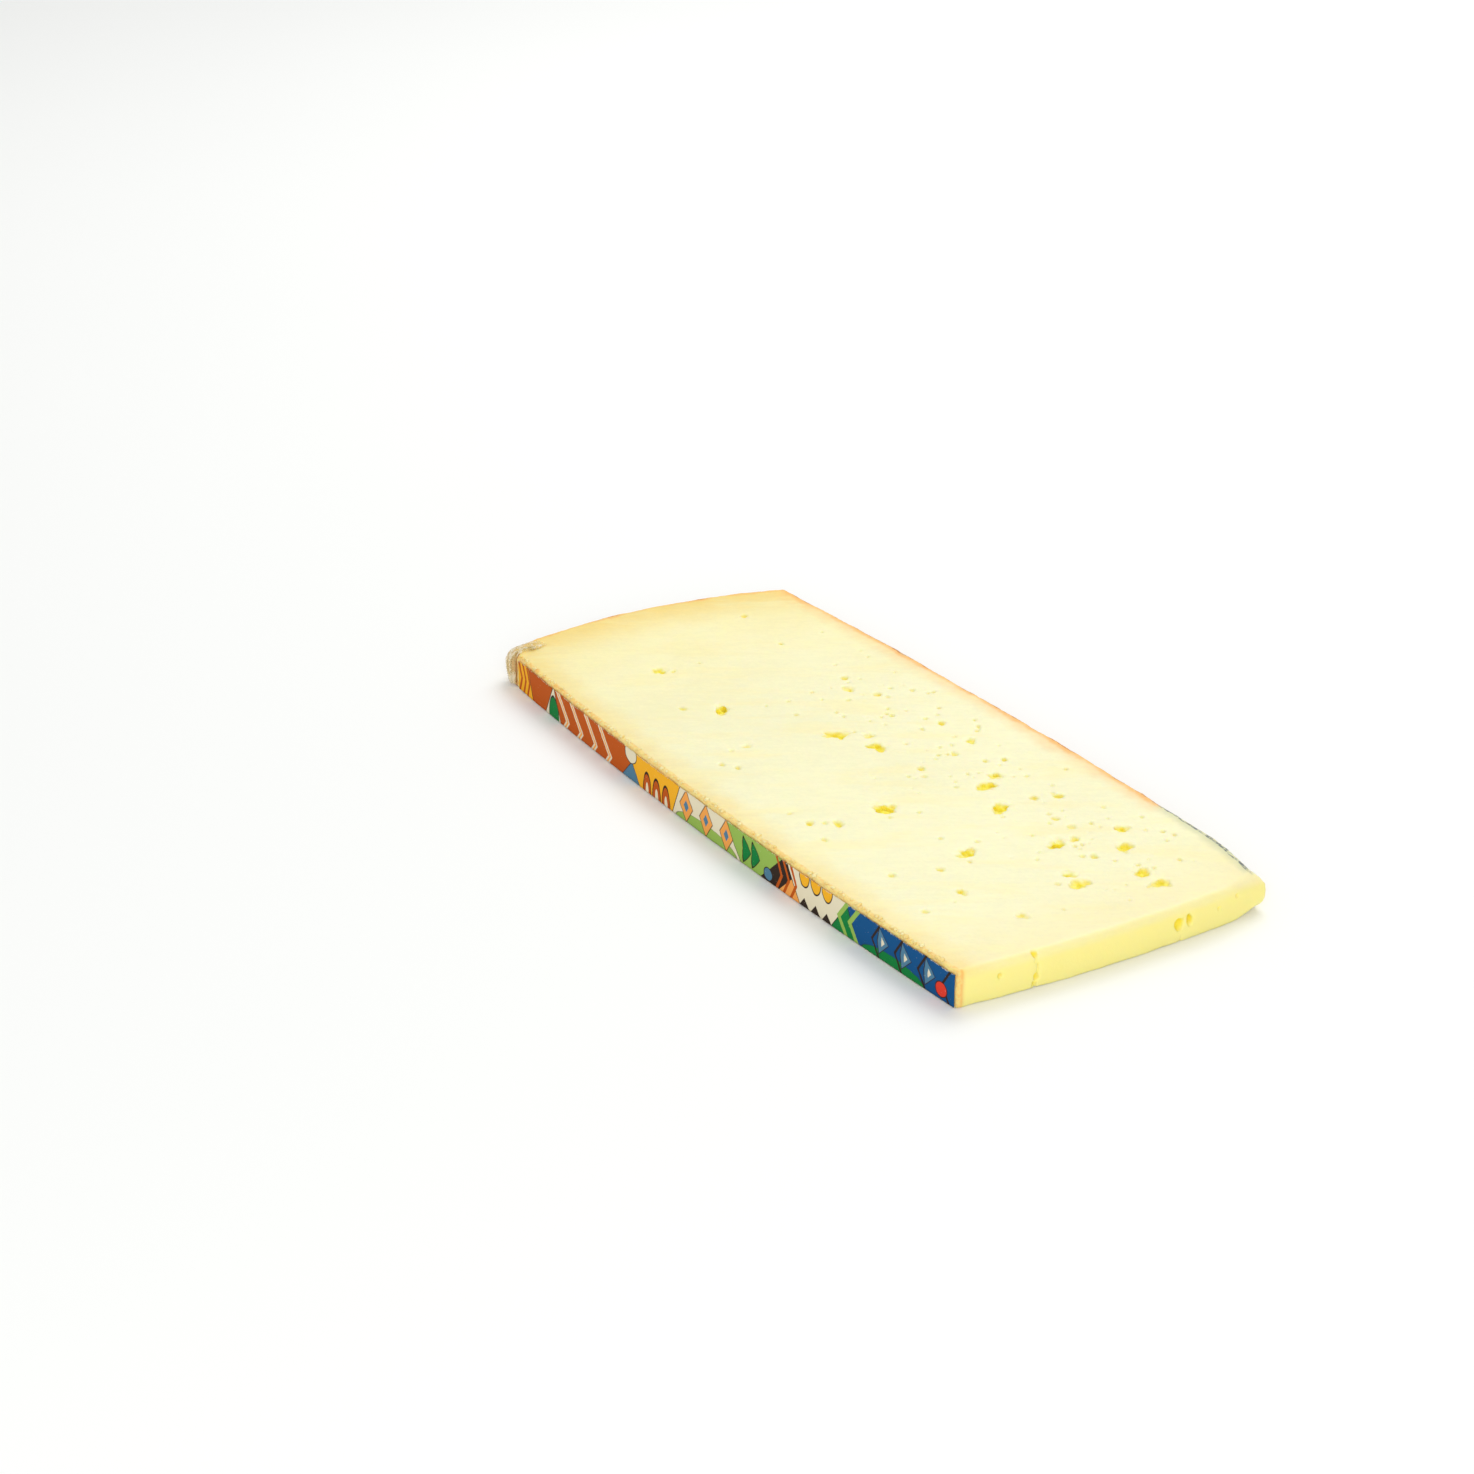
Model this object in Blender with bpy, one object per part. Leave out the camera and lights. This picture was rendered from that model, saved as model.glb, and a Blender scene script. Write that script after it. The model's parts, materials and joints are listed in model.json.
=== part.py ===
"""A flat slice cut from a washed-rind cheese wheel, with its paper label strip and a scrap of clear wrap.

The slice lies on its cut face. +X runs from the wheel's curved rim (the heel) to the cut end,
+Y from the labelled face of the wheel to its other face, +Z up through the slice's thickness.
The origin is under the middle of the slice, on the surface that it rests on. All sizes are in metres.
"""

import math
import random

import bmesh
import bpy
from mathutils import Vector, noise

MM = 0.001

# Driving sizes of the slice
SLICE_LENGTH = 170.8 * MM
SLICE_WIDTH = 74.8 * MM
THICKNESS = 7.7 * MM

# Each side bulges as a long arc: its radius, and where along the side its crest is
HEEL_RADIUS = 113.5 * MM
HEEL_CREST_Y = -9.5 * MM
LABEL_SIDE_RADIUS = 1320 * MM
LABEL_SIDE_CREST_X = 11 * MM
FAR_SIDE_RADIUS = 1410 * MM
FAR_SIDE_CREST_X = 9 * MM
END_RADIUS = 352 * MM
END_CREST_Y = 20 * MM

# Corner radii in plan
LABEL_END_CORNER = 0.8 * MM
FAR_END_CORNER = 1.6 * MM
FAR_HEEL_CORNER = 4.5 * MM
LABEL_HEEL_CORNER = 3.2 * MM

# Edge roundings in section: crisp where the wire cut, softer at the old cut end and its nose
EDGE_ROUND = 0.35 * MM
END_TOP_ROUND = 1.3 * MM
END_ROUND_RUN = 7 * MM
NOSE_ROUND = 2.8 * MM
NOSE_REACH = 17 * MM
CORNER_SHARE_DRAWN_SQUARE = 0.9

# Fineness of the outline and of the rounded edges
SIDE_STEP = 6 * MM
CORNER_STEP_DEGREES = 13
ROUND_STEPS = 3

# Eyes: the gas holes that the cut opens. Each is a shallow irregular dent.
# The largest ones of the top face, as place x and y, length and width in mm, and turn in degrees
LARGE_EYES = (
    (-8, 1, 5.2, 2.9, 56),
    (1, 5, 3.9, 3.1, 20),
    (-4, 6.5, 2.6, 1.8, 56),
    (24, -10, 4.6, 3.4, 40),
    (27, 13, 3.7, 3.0, 90),
    (24.5, 17, 3.1, 2.3, 56),
    (36, 9, 3.9, 2.9, 100),
    (54, 9, 3.8, 3.1, 110),
    (68, 3, 3.6, 2.7, 50),
    (64.5, 3.6, 2.6, 2.0, 50),
    (62, 19, 3.8, 2.4, 120),
    (56, 23.5, 3.0, 2.2, 30),
    (71.5, 15.5, 3.8, 2.4, 130),
    (76.5, 16, 3.5, 2.7, 60),
    (47, -7.5, 3.8, 2.8, 110),
    (-31, -12.5, 4.6, 2.6, 130),
    (9.5, 22.5, 2.9, 2.1, 110),
    (-54.5, -13, 3.2, 2.5, 20),
    (-24.5, 16, 2.6, 2.0, 56),
    (24, -21, 2.4, 2.0, 0),
    (58.5, -17.5, 2.4, 1.8, 0),
    (71.5, -13.5, 2.4, 1.8, 50),
    (-14, -17.5, 2.4, 1.5, 100),
)
# The top face's smaller eyes, as place x and y and length in mm: their width and turn are drawn
SMALL_EYES = (
    (-68.5, 18.5, 1.8), (-53, -3.5, 1.2), (-52.5, -10.5, 1.7), (-51.5, 17, 1.6), (-51.5, 28, 1.3),
    (-39, 29.5, 1.4), (-36, -18.5, 2.0), (-36, 20.5, 1.4), (-35.5, 29, 1.2), (-29.5, 18.5, 1.9),
    (-19, 19.5, 2.0), (-16.5, 27, 1.4), (-14, -21, 1.4), (-13.5, 29, 1.3), (-10, -26, 1.8),
    (-9, 16, 1.6), (-7, -24, 1.6), (-6.5, 26.5, 1.3), (-4, 21, 1.6), (-0.5, 17.5, 1.5),
    (-0.5, 22.5, 2.2), (6.5, 26.5, 1.7), (12.5, 16, 1.8), (14, 6.5, 1.9), (15, -26.5, 1.6),
    (17, 5, 1.7), (18.5, 19.5, 1.9), (20, 23, 2.0), (20.5, -25.5, 2.1), (22, -23, 1.5),
    (27.5, -27, 1.9), (36.5, 17.5, 2.1), (38.5, 22, 2.4), (39.5, -8, 1.5), (44.5, -3, 1.5),
    (45.5, 15.5, 2.0), (46, -24.5, 1.7), (47, 26.5, 1.5), (49.5, -15.5, 2.1), (50, -9, 1.4),
    (50, 16, 2.0), (54, 13.5, 2.0), (59, 27, 1.3), (60.5, -27.5, 1.6), (60.5, -21, 1.2),
    (61.5, 12, 2.0),
)
EYE_DEPTH_SHARE = 0.42
EYE_UNEVENNESS = 0.22
EYE_LUMPS = 1.4
FINE_EYE_LENGTH = 3.5 * MM

SMALL_EYE_SHARES = (0.6, 0.9)
TOP_SEED = 105

# The eyes of the face that the slice lies on are strewn by a rule, thickest in a band along the far side
BASE_EYES = 34
BASE_EYE_LENGTHS = (1.4 * MM, 3.2 * MM)
BASE_EYE_GAP = 4.2 * MM
BASE_PLACE_SEED = 11
BASE_SIZE_SEED = 111
STRAY_EYE_SHARE = 0.03
EYE_FIELD_X = (-60 * MM, 74 * MM)
EYE_FIELD_Y = (-30 * MM, 30 * MM)
BAND_CREST_Y = 17 * MM
BAND_HALF_WIDTH = 14 * MM
RESTING_SPOT_RADIUS = 8 * MM

# Two slots, a crack and two nicks in the cut end: place y and sizes
END_SLOTS_Y = (12.7 * MM, 14.9 * MM)
END_SLOT_LENGTH = 3.0 * MM
END_SLOT_WIDTH = 1.2 * MM
END_SLOT_DEPTH = 1.3 * MM
END_SLOT_HEIGHT = 4.0 * MM
END_SLOT_LEAN_DEGREES = 12
CRACK_Y = -19.2 * MM
CRACK_WIDTH = 0.5 * MM
CRACK_DEPTH = 1.4 * MM
NICKS_Y = (13.3 * MM, 20.8 * MM)
NICK_HEIGHT = 1.1 * MM
CUTTER_CLEARANCE = 0.5 * MM

# The paper label strip on the wheel's face
SKIN_GAP = 0.3 * MM
PAPER_THICKNESS = 0.3 * MM
LABEL_START_X = -77.3 * MM
LABEL_END_MARGIN = 0.25 * MM
LABEL_STEP = 6 * MM
LABEL_LOWER_EDGE = 0.15 * MM
LABEL_UPPER_MARGIN = 0.6 * MM

# The scrap of clear wrap round the heel corner, with a flap over the top face
WRAP_THICKNESS = 0.25 * MM
WRAP_BULGE = 0.8 * MM
WRAP_ON_HEEL = 4.5 * MM
WRAP_ON_FACE = 1.2 * MM
WRAP_STEP = 1.2 * MM
WRAP_FLAP = 2.6 * MM
WRAP_LOWER_EDGE = 0.35 * MM


def clear_scene():
    """Removes whatever the file opened with."""
    for thing in list(bpy.data.objects):
        bpy.data.objects.remove(thing, do_unlink=True)


def material(name, colour, roughness, metallic=0.0, alpha=1.0):
    """A plain Principled material in the piece's own colour."""
    finish = bpy.data.materials.new(name)
    finish.use_nodes = True
    shader = finish.node_tree.nodes["Principled BSDF"]
    shader.inputs["Base Color"].default_value = (*colour, 1.0)
    shader.inputs["Roughness"].default_value = roughness
    shader.inputs["Metallic"].default_value = metallic
    shader.inputs["Alpha"].default_value = alpha
    finish.diffuse_color = (*colour, alpha)
    return finish


def smooth_fall(distance, reach):
    """1 at no distance, falling smoothly to 0 at reach."""
    t = min(max(1 - distance / reach, 0.0), 1.0)
    return t * t * (3 - 2 * t)


def sides():
    """The four sides as circles (centre, radius), anticlockwise from the labelled side."""
    half_length = SLICE_LENGTH / 2
    half_width = SLICE_WIDTH / 2
    return [
        (Vector((LABEL_SIDE_CREST_X, LABEL_SIDE_RADIUS - half_width)), LABEL_SIDE_RADIUS),
        (Vector((half_length - END_RADIUS, END_CREST_Y)), END_RADIUS),
        (Vector((FAR_SIDE_CREST_X, half_width - FAR_SIDE_RADIUS)), FAR_SIDE_RADIUS),
        (Vector((HEEL_RADIUS - half_length, HEEL_CREST_Y)), HEEL_RADIUS),
    ]


def rolling_centre(side_a, side_b, radius, quadrant):
    """Centre of the corner's circle, which touches both side circles from inside."""
    (centre_a, big_a), (centre_b, big_b) = side_a, side_b
    reach_a = big_a - radius
    reach_b = big_b - radius
    across = centre_b - centre_a
    span = across.length
    along = (reach_a ** 2 - reach_b ** 2 + span ** 2) / (2 * span)
    aside = math.sqrt(reach_a ** 2 - along ** 2)
    foot = centre_a + across * (along / span)
    off = Vector((-across.y, across.x)) * (aside / span)
    return max(foot + off, foot - off, key=lambda point: point.dot(quadrant))


def arc(centre, radius, start, end, steps):
    """Points of an arc with their outward normals, both ends included."""
    for step in range(steps + 1):
        angle = start + (end - start) * step / steps
        normal = Vector((math.cos(angle), math.sin(angle)))
        yield centre + normal * radius, normal


def angle_from(centre, point):
    """Angle of point about centre, from 0 to a full turn."""
    way = point - centre
    return math.atan2(way.y, way.x) % (2 * math.pi)


def corner_centres():
    """Centres of the four corner arcs, with each corner's radius and the way that it points."""
    ring_sides = sides()
    radii = (LABEL_END_CORNER, FAR_END_CORNER, FAR_HEEL_CORNER, LABEL_HEEL_CORNER)
    quadrants = (Vector((1, -1)), Vector((1, 1)), Vector((-1, 1)), Vector((-1, -1)))
    corners = []
    for number, (radius, quadrant) in enumerate(zip(radii, quadrants)):
        side_before = ring_sides[number]
        side_after = ring_sides[(number + 1) % 4]
        centre = rolling_centre(side_before, side_after, radius, quadrant)
        corners.append((centre, radius, quadrant))
    return corners


def corner_arc(number):
    """Stations of one corner's arc, from the side before it to the side after it."""
    side_before = sides()[number]
    side_after = sides()[(number + 1) % 4]
    centre, radius, quadrant = corner_centres()[number]
    start = angle_from(side_before[0], centre)
    end = angle_from(side_after[0], centre)
    end += 2 * math.pi if end < start else 0
    steps = max(2, round(math.degrees(end - start) / CORNER_STEP_DEGREES))
    return list(arc(centre, radius, start, end, steps)), start, end


def side_run(number, start, end, step):
    """Stations along a side's arc between two of its angles, both ends included."""
    end += 2 * math.pi if end < start else 0
    centre, radius = sides()[number]
    steps = max(2, round(radius * (end - start) / step))
    return list(arc(centre, radius, start, end, steps))


def outline():
    """The slice's plan, anticlockwise, four arcs and four corners.

    Each station is (point, outward normal, corner), where corner is None along a side, or else
    the corner's radius and the way that it points.
    """
    ring = []
    corners = corner_centres()
    for number in range(4):
        stations, start, end = corner_arc(number)
        ring += [(p, n, corners[number][1:]) for p, n in stations]
        following = (number + 1) % 4
        next_start = corner_arc(following)[1]
        run = side_run(following, end % (2 * math.pi), next_start, SIDE_STEP)
        ring += [(p, n, None) for p, n in run[1:-1]]
    return ring


def edge_rounds(point, normal):
    """Rounding radii of the top and bottom edges at a point of the outline."""
    corner = Vector((SLICE_LENGTH / 2, SLICE_WIDTH / 2))
    nose = smooth_fall((point - corner).length, NOSE_REACH)
    from_label = point.y + SLICE_WIDTH / 2
    faces_end = normal.x > math.cos(math.radians(45))
    end_share = 1 - smooth_fall(from_label, END_ROUND_RUN) if faces_end else 0.0
    end_top = EDGE_ROUND + (END_TOP_ROUND - EDGE_ROUND) * end_share
    nosed = EDGE_ROUND + (NOSE_ROUND - EDGE_ROUND) * nose
    return max(end_top, nosed), nosed


def drawn_in(point, normal, corner, distance):
    """A point of the outline moved inwards: past a tight corner's own radius, along the diagonal."""
    if corner is None or distance < CORNER_SHARE_DRAWN_SQUARE * corner[0]:
        return point - normal * distance
    radius, diagonal = corner
    square_part = CORNER_SHARE_DRAWN_SQUARE * radius
    return point - normal * square_part - diagonal * (distance - square_part)


def mesh_object(name, bm, finish):
    """Makes a named object from a bmesh."""
    bmesh.ops.recalc_face_normals(bm, faces=bm.faces)
    data = bpy.data.meshes.new(name)
    bm.to_mesh(data)
    bm.free()
    thing = bpy.data.objects.new(name, data)
    bpy.context.scene.collection.objects.link(thing)
    if finish:
        data.materials.append(finish)
    return thing


def bridge_rings(bm, rings):
    """Quads between each closed ring of vertices and the next."""
    for low, high in zip(rings, rings[1:]):
        count = len(low)
        for i in range(count):
            j = (i + 1) % count
            bm.faces.new((low[i], low[j], high[j], high[i]))


def slab(name, finish):
    """The slice before its eyes are cut: its outline, carried up through rounded edges."""
    bm = bmesh.new()
    ring = outline()
    quarter = math.pi / 2
    turns = [quarter * (1 - step / ROUND_STEPS) for step in range(ROUND_STEPS + 1)]
    levels = []
    for is_top in (False, True):
        for turn in reversed(turns) if is_top else turns:
            level = []
            for point, normal, corner in ring:
                radius = edge_rounds(point, normal)[0 if is_top else 1]
                inset = drawn_in(point, normal, corner, radius * (1 - math.cos(turn)))
                rise = radius * (1 - math.sin(turn))
                level.append(bm.verts.new((*inset, THICKNESS - rise if is_top else rise)))
            levels.append(level)
    bridge_rings(bm, levels)
    bm.faces.new(list(reversed(levels[0])))
    bm.faces.new(levels[-1])
    return mesh_object(name, bm, finish)


def cutter_object(name, bm, group):
    """Makes a cutter from a bmesh and puts it in the cutters' own collection."""
    cutter = mesh_object(name, bm, None)
    cutter.hide_render = True
    cutter.display_type = "WIRE"
    bpy.context.scene.collection.objects.unlink(cutter)
    group.objects.link(cutter)
    return cutter


def eye_cutter(name, place, size, turn, group):
    """An uneven ellipsoid that cuts one eye."""
    bm = bmesh.new()
    fine = max(size) > FINE_EYE_LENGTH
    bmesh.ops.create_icosphere(bm, subdivisions=3 if fine else 2, radius=1.0)
    for vertex in bm.verts:
        way = vertex.co.normalized()
        swell = 1 + EYE_UNEVENNESS * noise.noise(way * EYE_LUMPS + place / (3 * MM))
        vertex.co = Vector((way.x * size[0], way.y * size[1], way.z * size[2])) * (swell / 2)
    cutter = cutter_object(name, bm, group)
    cutter.location = place
    cutter.rotation_euler = turn


def base_eye_places():
    """Places for the lower face's eyes, thickest in the band, clear of each other and of the resting spot."""
    draw = random.Random(BASE_PLACE_SEED)
    places = []
    while len(places) < BASE_EYES:
        x = draw.uniform(*EYE_FIELD_X)
        y = draw.uniform(*EYE_FIELD_Y)
        share = smooth_fall(abs(y - BAND_CREST_Y), BAND_HALF_WIDTH)
        rightward = (x - EYE_FIELD_X[0]) / (EYE_FIELD_X[1] - EYE_FIELD_X[0])
        wanted = draw.random() < STRAY_EYE_SHARE + share * rightward ** 2
        spot = Vector((x, y))
        near = any((spot - other).length < BASE_EYE_GAP for other in places)
        if wanted and not near and spot.length > RESTING_SPOT_RADIUS:
            places.append(spot)
    return places


def drawn_eye(name, spot, length, level, draw, group):
    """A smaller eye, whose width and turn are drawn."""
    width = length * draw.uniform(*SMALL_EYE_SHARES)
    size = (length, width, 2 * EYE_DEPTH_SHARE * width)
    turn = (0, 0, draw.uniform(0, math.pi))
    eye_cutter(name, Vector((*spot, level)), size, turn, group)


def eye_cutters(group):
    """Cutters for the eyes of the top face and of the face it lies on."""
    for number, (x, y, length, width, turn) in enumerate(LARGE_EYES):
        size = (length * MM, width * MM, 2 * EYE_DEPTH_SHARE * width * MM)
        place = Vector((x * MM, y * MM, THICKNESS))
        eye_cutter(f"eye_cutter_{number}", place, size, (0, 0, math.radians(turn)), group)
    draw = random.Random(TOP_SEED)
    for number, (x, y, length) in enumerate(SMALL_EYES):
        spot = (x * MM, y * MM)
        drawn_eye(f"small_cutter_{number}", spot, length * MM, THICKNESS, draw, group)
    draw = random.Random(BASE_SIZE_SEED)
    for number, spot in enumerate(base_eye_places()):
        length = draw.uniform(*BASE_EYE_LENGTHS)
        drawn_eye(f"base_cutter_{number}", spot, length, 0.0, draw, group)


def end_face_x(y):
    """Where the cut end's face is at a given y."""
    centre, radius = sides()[1]
    return centre.x + math.sqrt(radius ** 2 - (y - centre.y) ** 2)


def wedge_cutter(name, y, width, depth, low, high, group):
    """An upright wedge that cuts a crack or a nick into the end face."""
    bm = bmesh.new()
    face = end_face_x(y)
    mouth = face + CUTTER_CLEARANCE
    plan = ((mouth, y - width), (mouth, y + width), (face - depth, y))
    rings = [[bm.verts.new((*corner, level)) for corner in plan] for level in (low, high)]
    bridge_rings(bm, rings)
    bm.faces.new(rings[0])
    bm.faces.new(rings[1])
    cutter_object(name, bm, group)


def end_cutters(group):
    """The slot eyes, the crack and the nicks of the cut end."""
    for number, y in enumerate(END_SLOTS_Y):
        place = Vector((end_face_x(y), y, END_SLOT_HEIGHT))
        size = (2 * END_SLOT_DEPTH, END_SLOT_WIDTH, END_SLOT_LENGTH)
        lean = (math.radians(END_SLOT_LEAN_DEGREES), 0, 0)
        eye_cutter(f"slot_cutter_{number}", place, size, lean, group)
    low = -CUTTER_CLEARANCE
    high = THICKNESS + CUTTER_CLEARANCE
    wedge_cutter("crack_cutter", CRACK_Y, CRACK_WIDTH / 2, CRACK_DEPTH, low, high, group)
    for number, y in enumerate(NICKS_Y):
        name = f"nick_cutter_{number}"
        wedge_cutter(name, y, CRACK_WIDTH / 2, CRACK_DEPTH, low, NICK_HEIGHT, group)


def cheese(finish):
    """The slice itself, with its eyes, its crack and its nicks cut by one Boolean."""
    piece = slab("cheese", finish)
    group = bpy.data.collections.new("cutters")
    bpy.context.scene.collection.children.link(group)
    eye_cutters(group)
    end_cutters(group)
    cut = piece.modifiers.new("eyes", "BOOLEAN")
    cut.operation = "DIFFERENCE"
    cut.operand_type = "COLLECTION"
    cut.collection = group
    cut.solver = "EXACT"
    return piece


def swept_skin(name, path, section, bulge, finish):
    """A thin solid: one closed section, as (outward, height) pairs, carried along a path.

    Its outward part stands off by the bulge midway along the path.
    """
    bm = bmesh.new()
    rings = []
    for number, (point, normal) in enumerate(path):
        swell = bulge * math.sin(math.pi * number / (len(path) - 1))
        ring = []
        for out, height in section:
            place = point + normal * (out + (swell if out > 0 else 0.0))
            ring.append(bm.verts.new((*place, height)))
        rings.append(ring)
    bridge_rings(bm, rings)
    bm.faces.new(rings[0])
    bm.faces.new(rings[-1])
    return mesh_object(name, bm, finish)


def label(finish):
    """The paper strip on the labelled side, from the heel corner to the cut end."""
    centre, radius = sides()[0]
    end_x = end_face_x(-SLICE_WIDTH / 2) - LABEL_END_MARGIN
    start, end = (
        3 * math.pi / 2 + math.asin((x - centre.x) / radius) for x in (LABEL_START_X, end_x)
    )
    path = side_run(0, start, end, LABEL_STEP)
    inner = SKIN_GAP
    outer = SKIN_GAP + PAPER_THICKNESS
    low = LABEL_LOWER_EDGE
    high = THICKNESS - LABEL_UPPER_MARGIN
    section = ((inner, low), (outer, low), (outer, high), (inner, high))
    return swept_skin("label", path, section, 0.0, finish)


def wrap(finish):
    """The scrap of clear wrap that hugs the heel corner and folds over the top edge."""
    stations, start, end = corner_arc(3)
    on_heel = side_run(3, start - WRAP_ON_HEEL / HEEL_RADIUS, start, WRAP_STEP)
    on_face = side_run(0, end, end + WRAP_ON_FACE / LABEL_SIDE_RADIUS, WRAP_STEP)
    path = on_heel[:-1] + stations + on_face[1:]
    inner = SKIN_GAP
    outer = SKIN_GAP + WRAP_THICKNESS
    top_under = THICKNESS + SKIN_GAP
    top_over = THICKNESS + SKIN_GAP + WRAP_THICKNESS
    section = (
        (inner, WRAP_LOWER_EDGE),
        (outer, WRAP_LOWER_EDGE),
        (outer, top_over),
        (-WRAP_FLAP, top_over),
        (-WRAP_FLAP, top_under),
        (inner, top_under),
    )
    return swept_skin("wrap", path, section, WRAP_BULGE, finish)


def centre_on_base(pieces):
    """Moves the pieces' meshes together, so that the origin is under the middle of them all."""
    corners = [vertex.co for piece in pieces for vertex in piece.data.vertices]
    middle_x = (min(c.x for c in corners) + max(c.x for c in corners)) / 2
    middle_y = (min(c.y for c in corners) + max(c.y for c in corners)) / 2
    for thing in bpy.data.objects:
        thing.location -= Vector((middle_x, middle_y, 0))


def main():
    clear_scene()
    paste = material("cheese_paste", (0.93, 0.83, 0.52), 0.5)
    paper = material("label_paper", (0.70, 0.32, 0.10), 0.6)
    clear_film = material("clear_wrap", (0.95, 0.94, 0.88), 0.15, alpha=0.35)
    pieces = [cheese(paste), label(paper), wrap(clear_film)]
    centre_on_base(pieces)
    for piece in pieces:
        piece.data.shade_smooth()
        piece.data.set_sharp_from_angle(angle=math.radians(35))


main()
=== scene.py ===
"""Looks of a flat slice of washed-rind melting cheese: the slice with its eyes and rind, the crumbs on its
rim, the printed paper strip on its side and the scrap of clear film at its heel corner.

Each piece is made by its own operator, in metres, where the frame's solids are.
"""

import json
import math
import random
from functools import partial

import bpy
import numpy as np
from bpy.props import FloatProperty, FloatVectorProperty, IntProperty, PointerProperty
from mathutils import Matrix, Vector, noise

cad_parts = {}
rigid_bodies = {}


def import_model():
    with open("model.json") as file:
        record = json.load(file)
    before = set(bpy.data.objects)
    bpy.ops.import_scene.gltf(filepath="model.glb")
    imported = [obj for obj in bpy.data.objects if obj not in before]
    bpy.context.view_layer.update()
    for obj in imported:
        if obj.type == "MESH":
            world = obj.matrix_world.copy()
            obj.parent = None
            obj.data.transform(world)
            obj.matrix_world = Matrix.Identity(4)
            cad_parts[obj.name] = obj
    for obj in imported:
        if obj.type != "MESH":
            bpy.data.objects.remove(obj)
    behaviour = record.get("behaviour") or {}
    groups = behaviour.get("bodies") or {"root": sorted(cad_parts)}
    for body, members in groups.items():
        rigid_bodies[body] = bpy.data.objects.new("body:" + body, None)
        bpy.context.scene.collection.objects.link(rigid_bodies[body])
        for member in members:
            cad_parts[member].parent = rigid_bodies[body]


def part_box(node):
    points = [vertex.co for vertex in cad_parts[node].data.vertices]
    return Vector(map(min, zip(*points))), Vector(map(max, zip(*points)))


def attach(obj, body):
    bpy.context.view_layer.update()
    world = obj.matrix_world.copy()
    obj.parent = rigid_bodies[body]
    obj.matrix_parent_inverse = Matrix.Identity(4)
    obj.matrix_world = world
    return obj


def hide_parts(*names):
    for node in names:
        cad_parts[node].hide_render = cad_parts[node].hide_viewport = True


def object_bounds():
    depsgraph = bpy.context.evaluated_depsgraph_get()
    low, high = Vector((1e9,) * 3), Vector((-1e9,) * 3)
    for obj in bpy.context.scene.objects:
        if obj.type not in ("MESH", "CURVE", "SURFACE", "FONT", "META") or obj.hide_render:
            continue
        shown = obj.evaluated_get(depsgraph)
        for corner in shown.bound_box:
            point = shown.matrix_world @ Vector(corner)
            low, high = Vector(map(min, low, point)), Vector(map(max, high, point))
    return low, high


bl_info = {
    "name": "Cheese Slice",
    "version": (1, 0, 0),
    "blender": (4, 5, 0),
    "location": "View3D > Sidebar > Cheese",
    "description": "Models a flat slice of washed-rind cheese with its label strip and a scrap of film",
    "category": "Add Mesh",
}

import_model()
CAD_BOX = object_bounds()
CHEESE_LOW, CHEESE_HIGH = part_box("cheese")
LABEL_LOW, LABEL_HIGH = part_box("label")
WRAP_LOW, WRAP_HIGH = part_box("wrap")

MM = 0.001
TINY = 1e-9

# The four sides bulge as long arcs, as in the solids: radius and the place of the crest
MIDDLE_Y = (CHEESE_LOW.y + CHEESE_HIGH.y) / 2
HALF_LENGTH = (CHEESE_HIGH.x - CHEESE_LOW.x) / 2
HALF_WIDTH = (CHEESE_HIGH.y - CHEESE_LOW.y) / 2
THICKNESS = CHEESE_HIGH.z
HEEL_RADIUS = 113.5 * MM
HEEL_CREST_Y = -9.5 * MM
LABEL_SIDE_RADIUS = 1320 * MM
LABEL_SIDE_CREST_X = 11 * MM
FAR_SIDE_RADIUS = 1410 * MM
FAR_SIDE_CREST_X = 9 * MM
END_RADIUS = 352 * MM
END_CREST_Y = 20 * MM
# The rind meets the paper, so it stands out by this much on the labelled side
RIND_UNDER_LABEL = 0.27 * MM
# How finely the long sides and the shorter ones are drawn
LONG_ARC_STEP = 5 * MM
ARC_STEP = 2 * MM
# Corner radii in plan, anticlockwise from where the labelled side meets the cut end
CORNER_RADII = (0.8 * MM, 1.6 * MM, 4.5 * MM, 3.2 * MM)
CORNER_TOLERANCE = 0.2 * MM
LABEL, END, FAR, HEEL = range(4)
# The way to the corner where each side meets the next one
QUADRANTS = (Vector((1, -1)), Vector((1, 1)), Vector((-1, 1)), Vector((-1, -1)))

# Edge roundings: crisp where the wire cut, softer at the old cut end, its nose and the heel corner
EDGE_ROUND = 0.35 * MM
END_TOP_ROUND = 1.3 * MM
END_ROUND_RUN = 7 * MM
NOSE_TOP_ROUND = 3.9 * MM
NOSE_TOP_REACH = 17 * MM
NOSE_BASE_ROUND = 3.4 * MM
NOSE_BASE_REACH = 10 * MM
TIP_REACH = 7 * MM
# How much of the rounding lies beyond the far side's visible rim
FAR_RIM_SHARE = 0.55
HEEL_TOP_ROUND = 2.3 * MM
HEEL_REACH = 9 * MM
# How deep and how high the cut end is worn, and how deep the uneven skin of the rind goes
END_WEAR_DEPTH = 1.2 * MM
END_WEAR_HEIGHT = 3 * MM
FAR_SKIN = 1.2 * MM
RIND_SKIN = 0.8 * MM
WEIGHT_LEVELS = 10
TIP_SMOOTHINGS = 20

# The way across the slice that the eyes' leaning runs along, and the way to their far side
RIGHT_WAY = Vector((0.5541, 0.8325, 0))
FAR_WAY = Vector((-0.8325, 0.5541, 0))
# The wire drew the eyes out by this share towards their far side
EYE_STRETCH = 1.3

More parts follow.
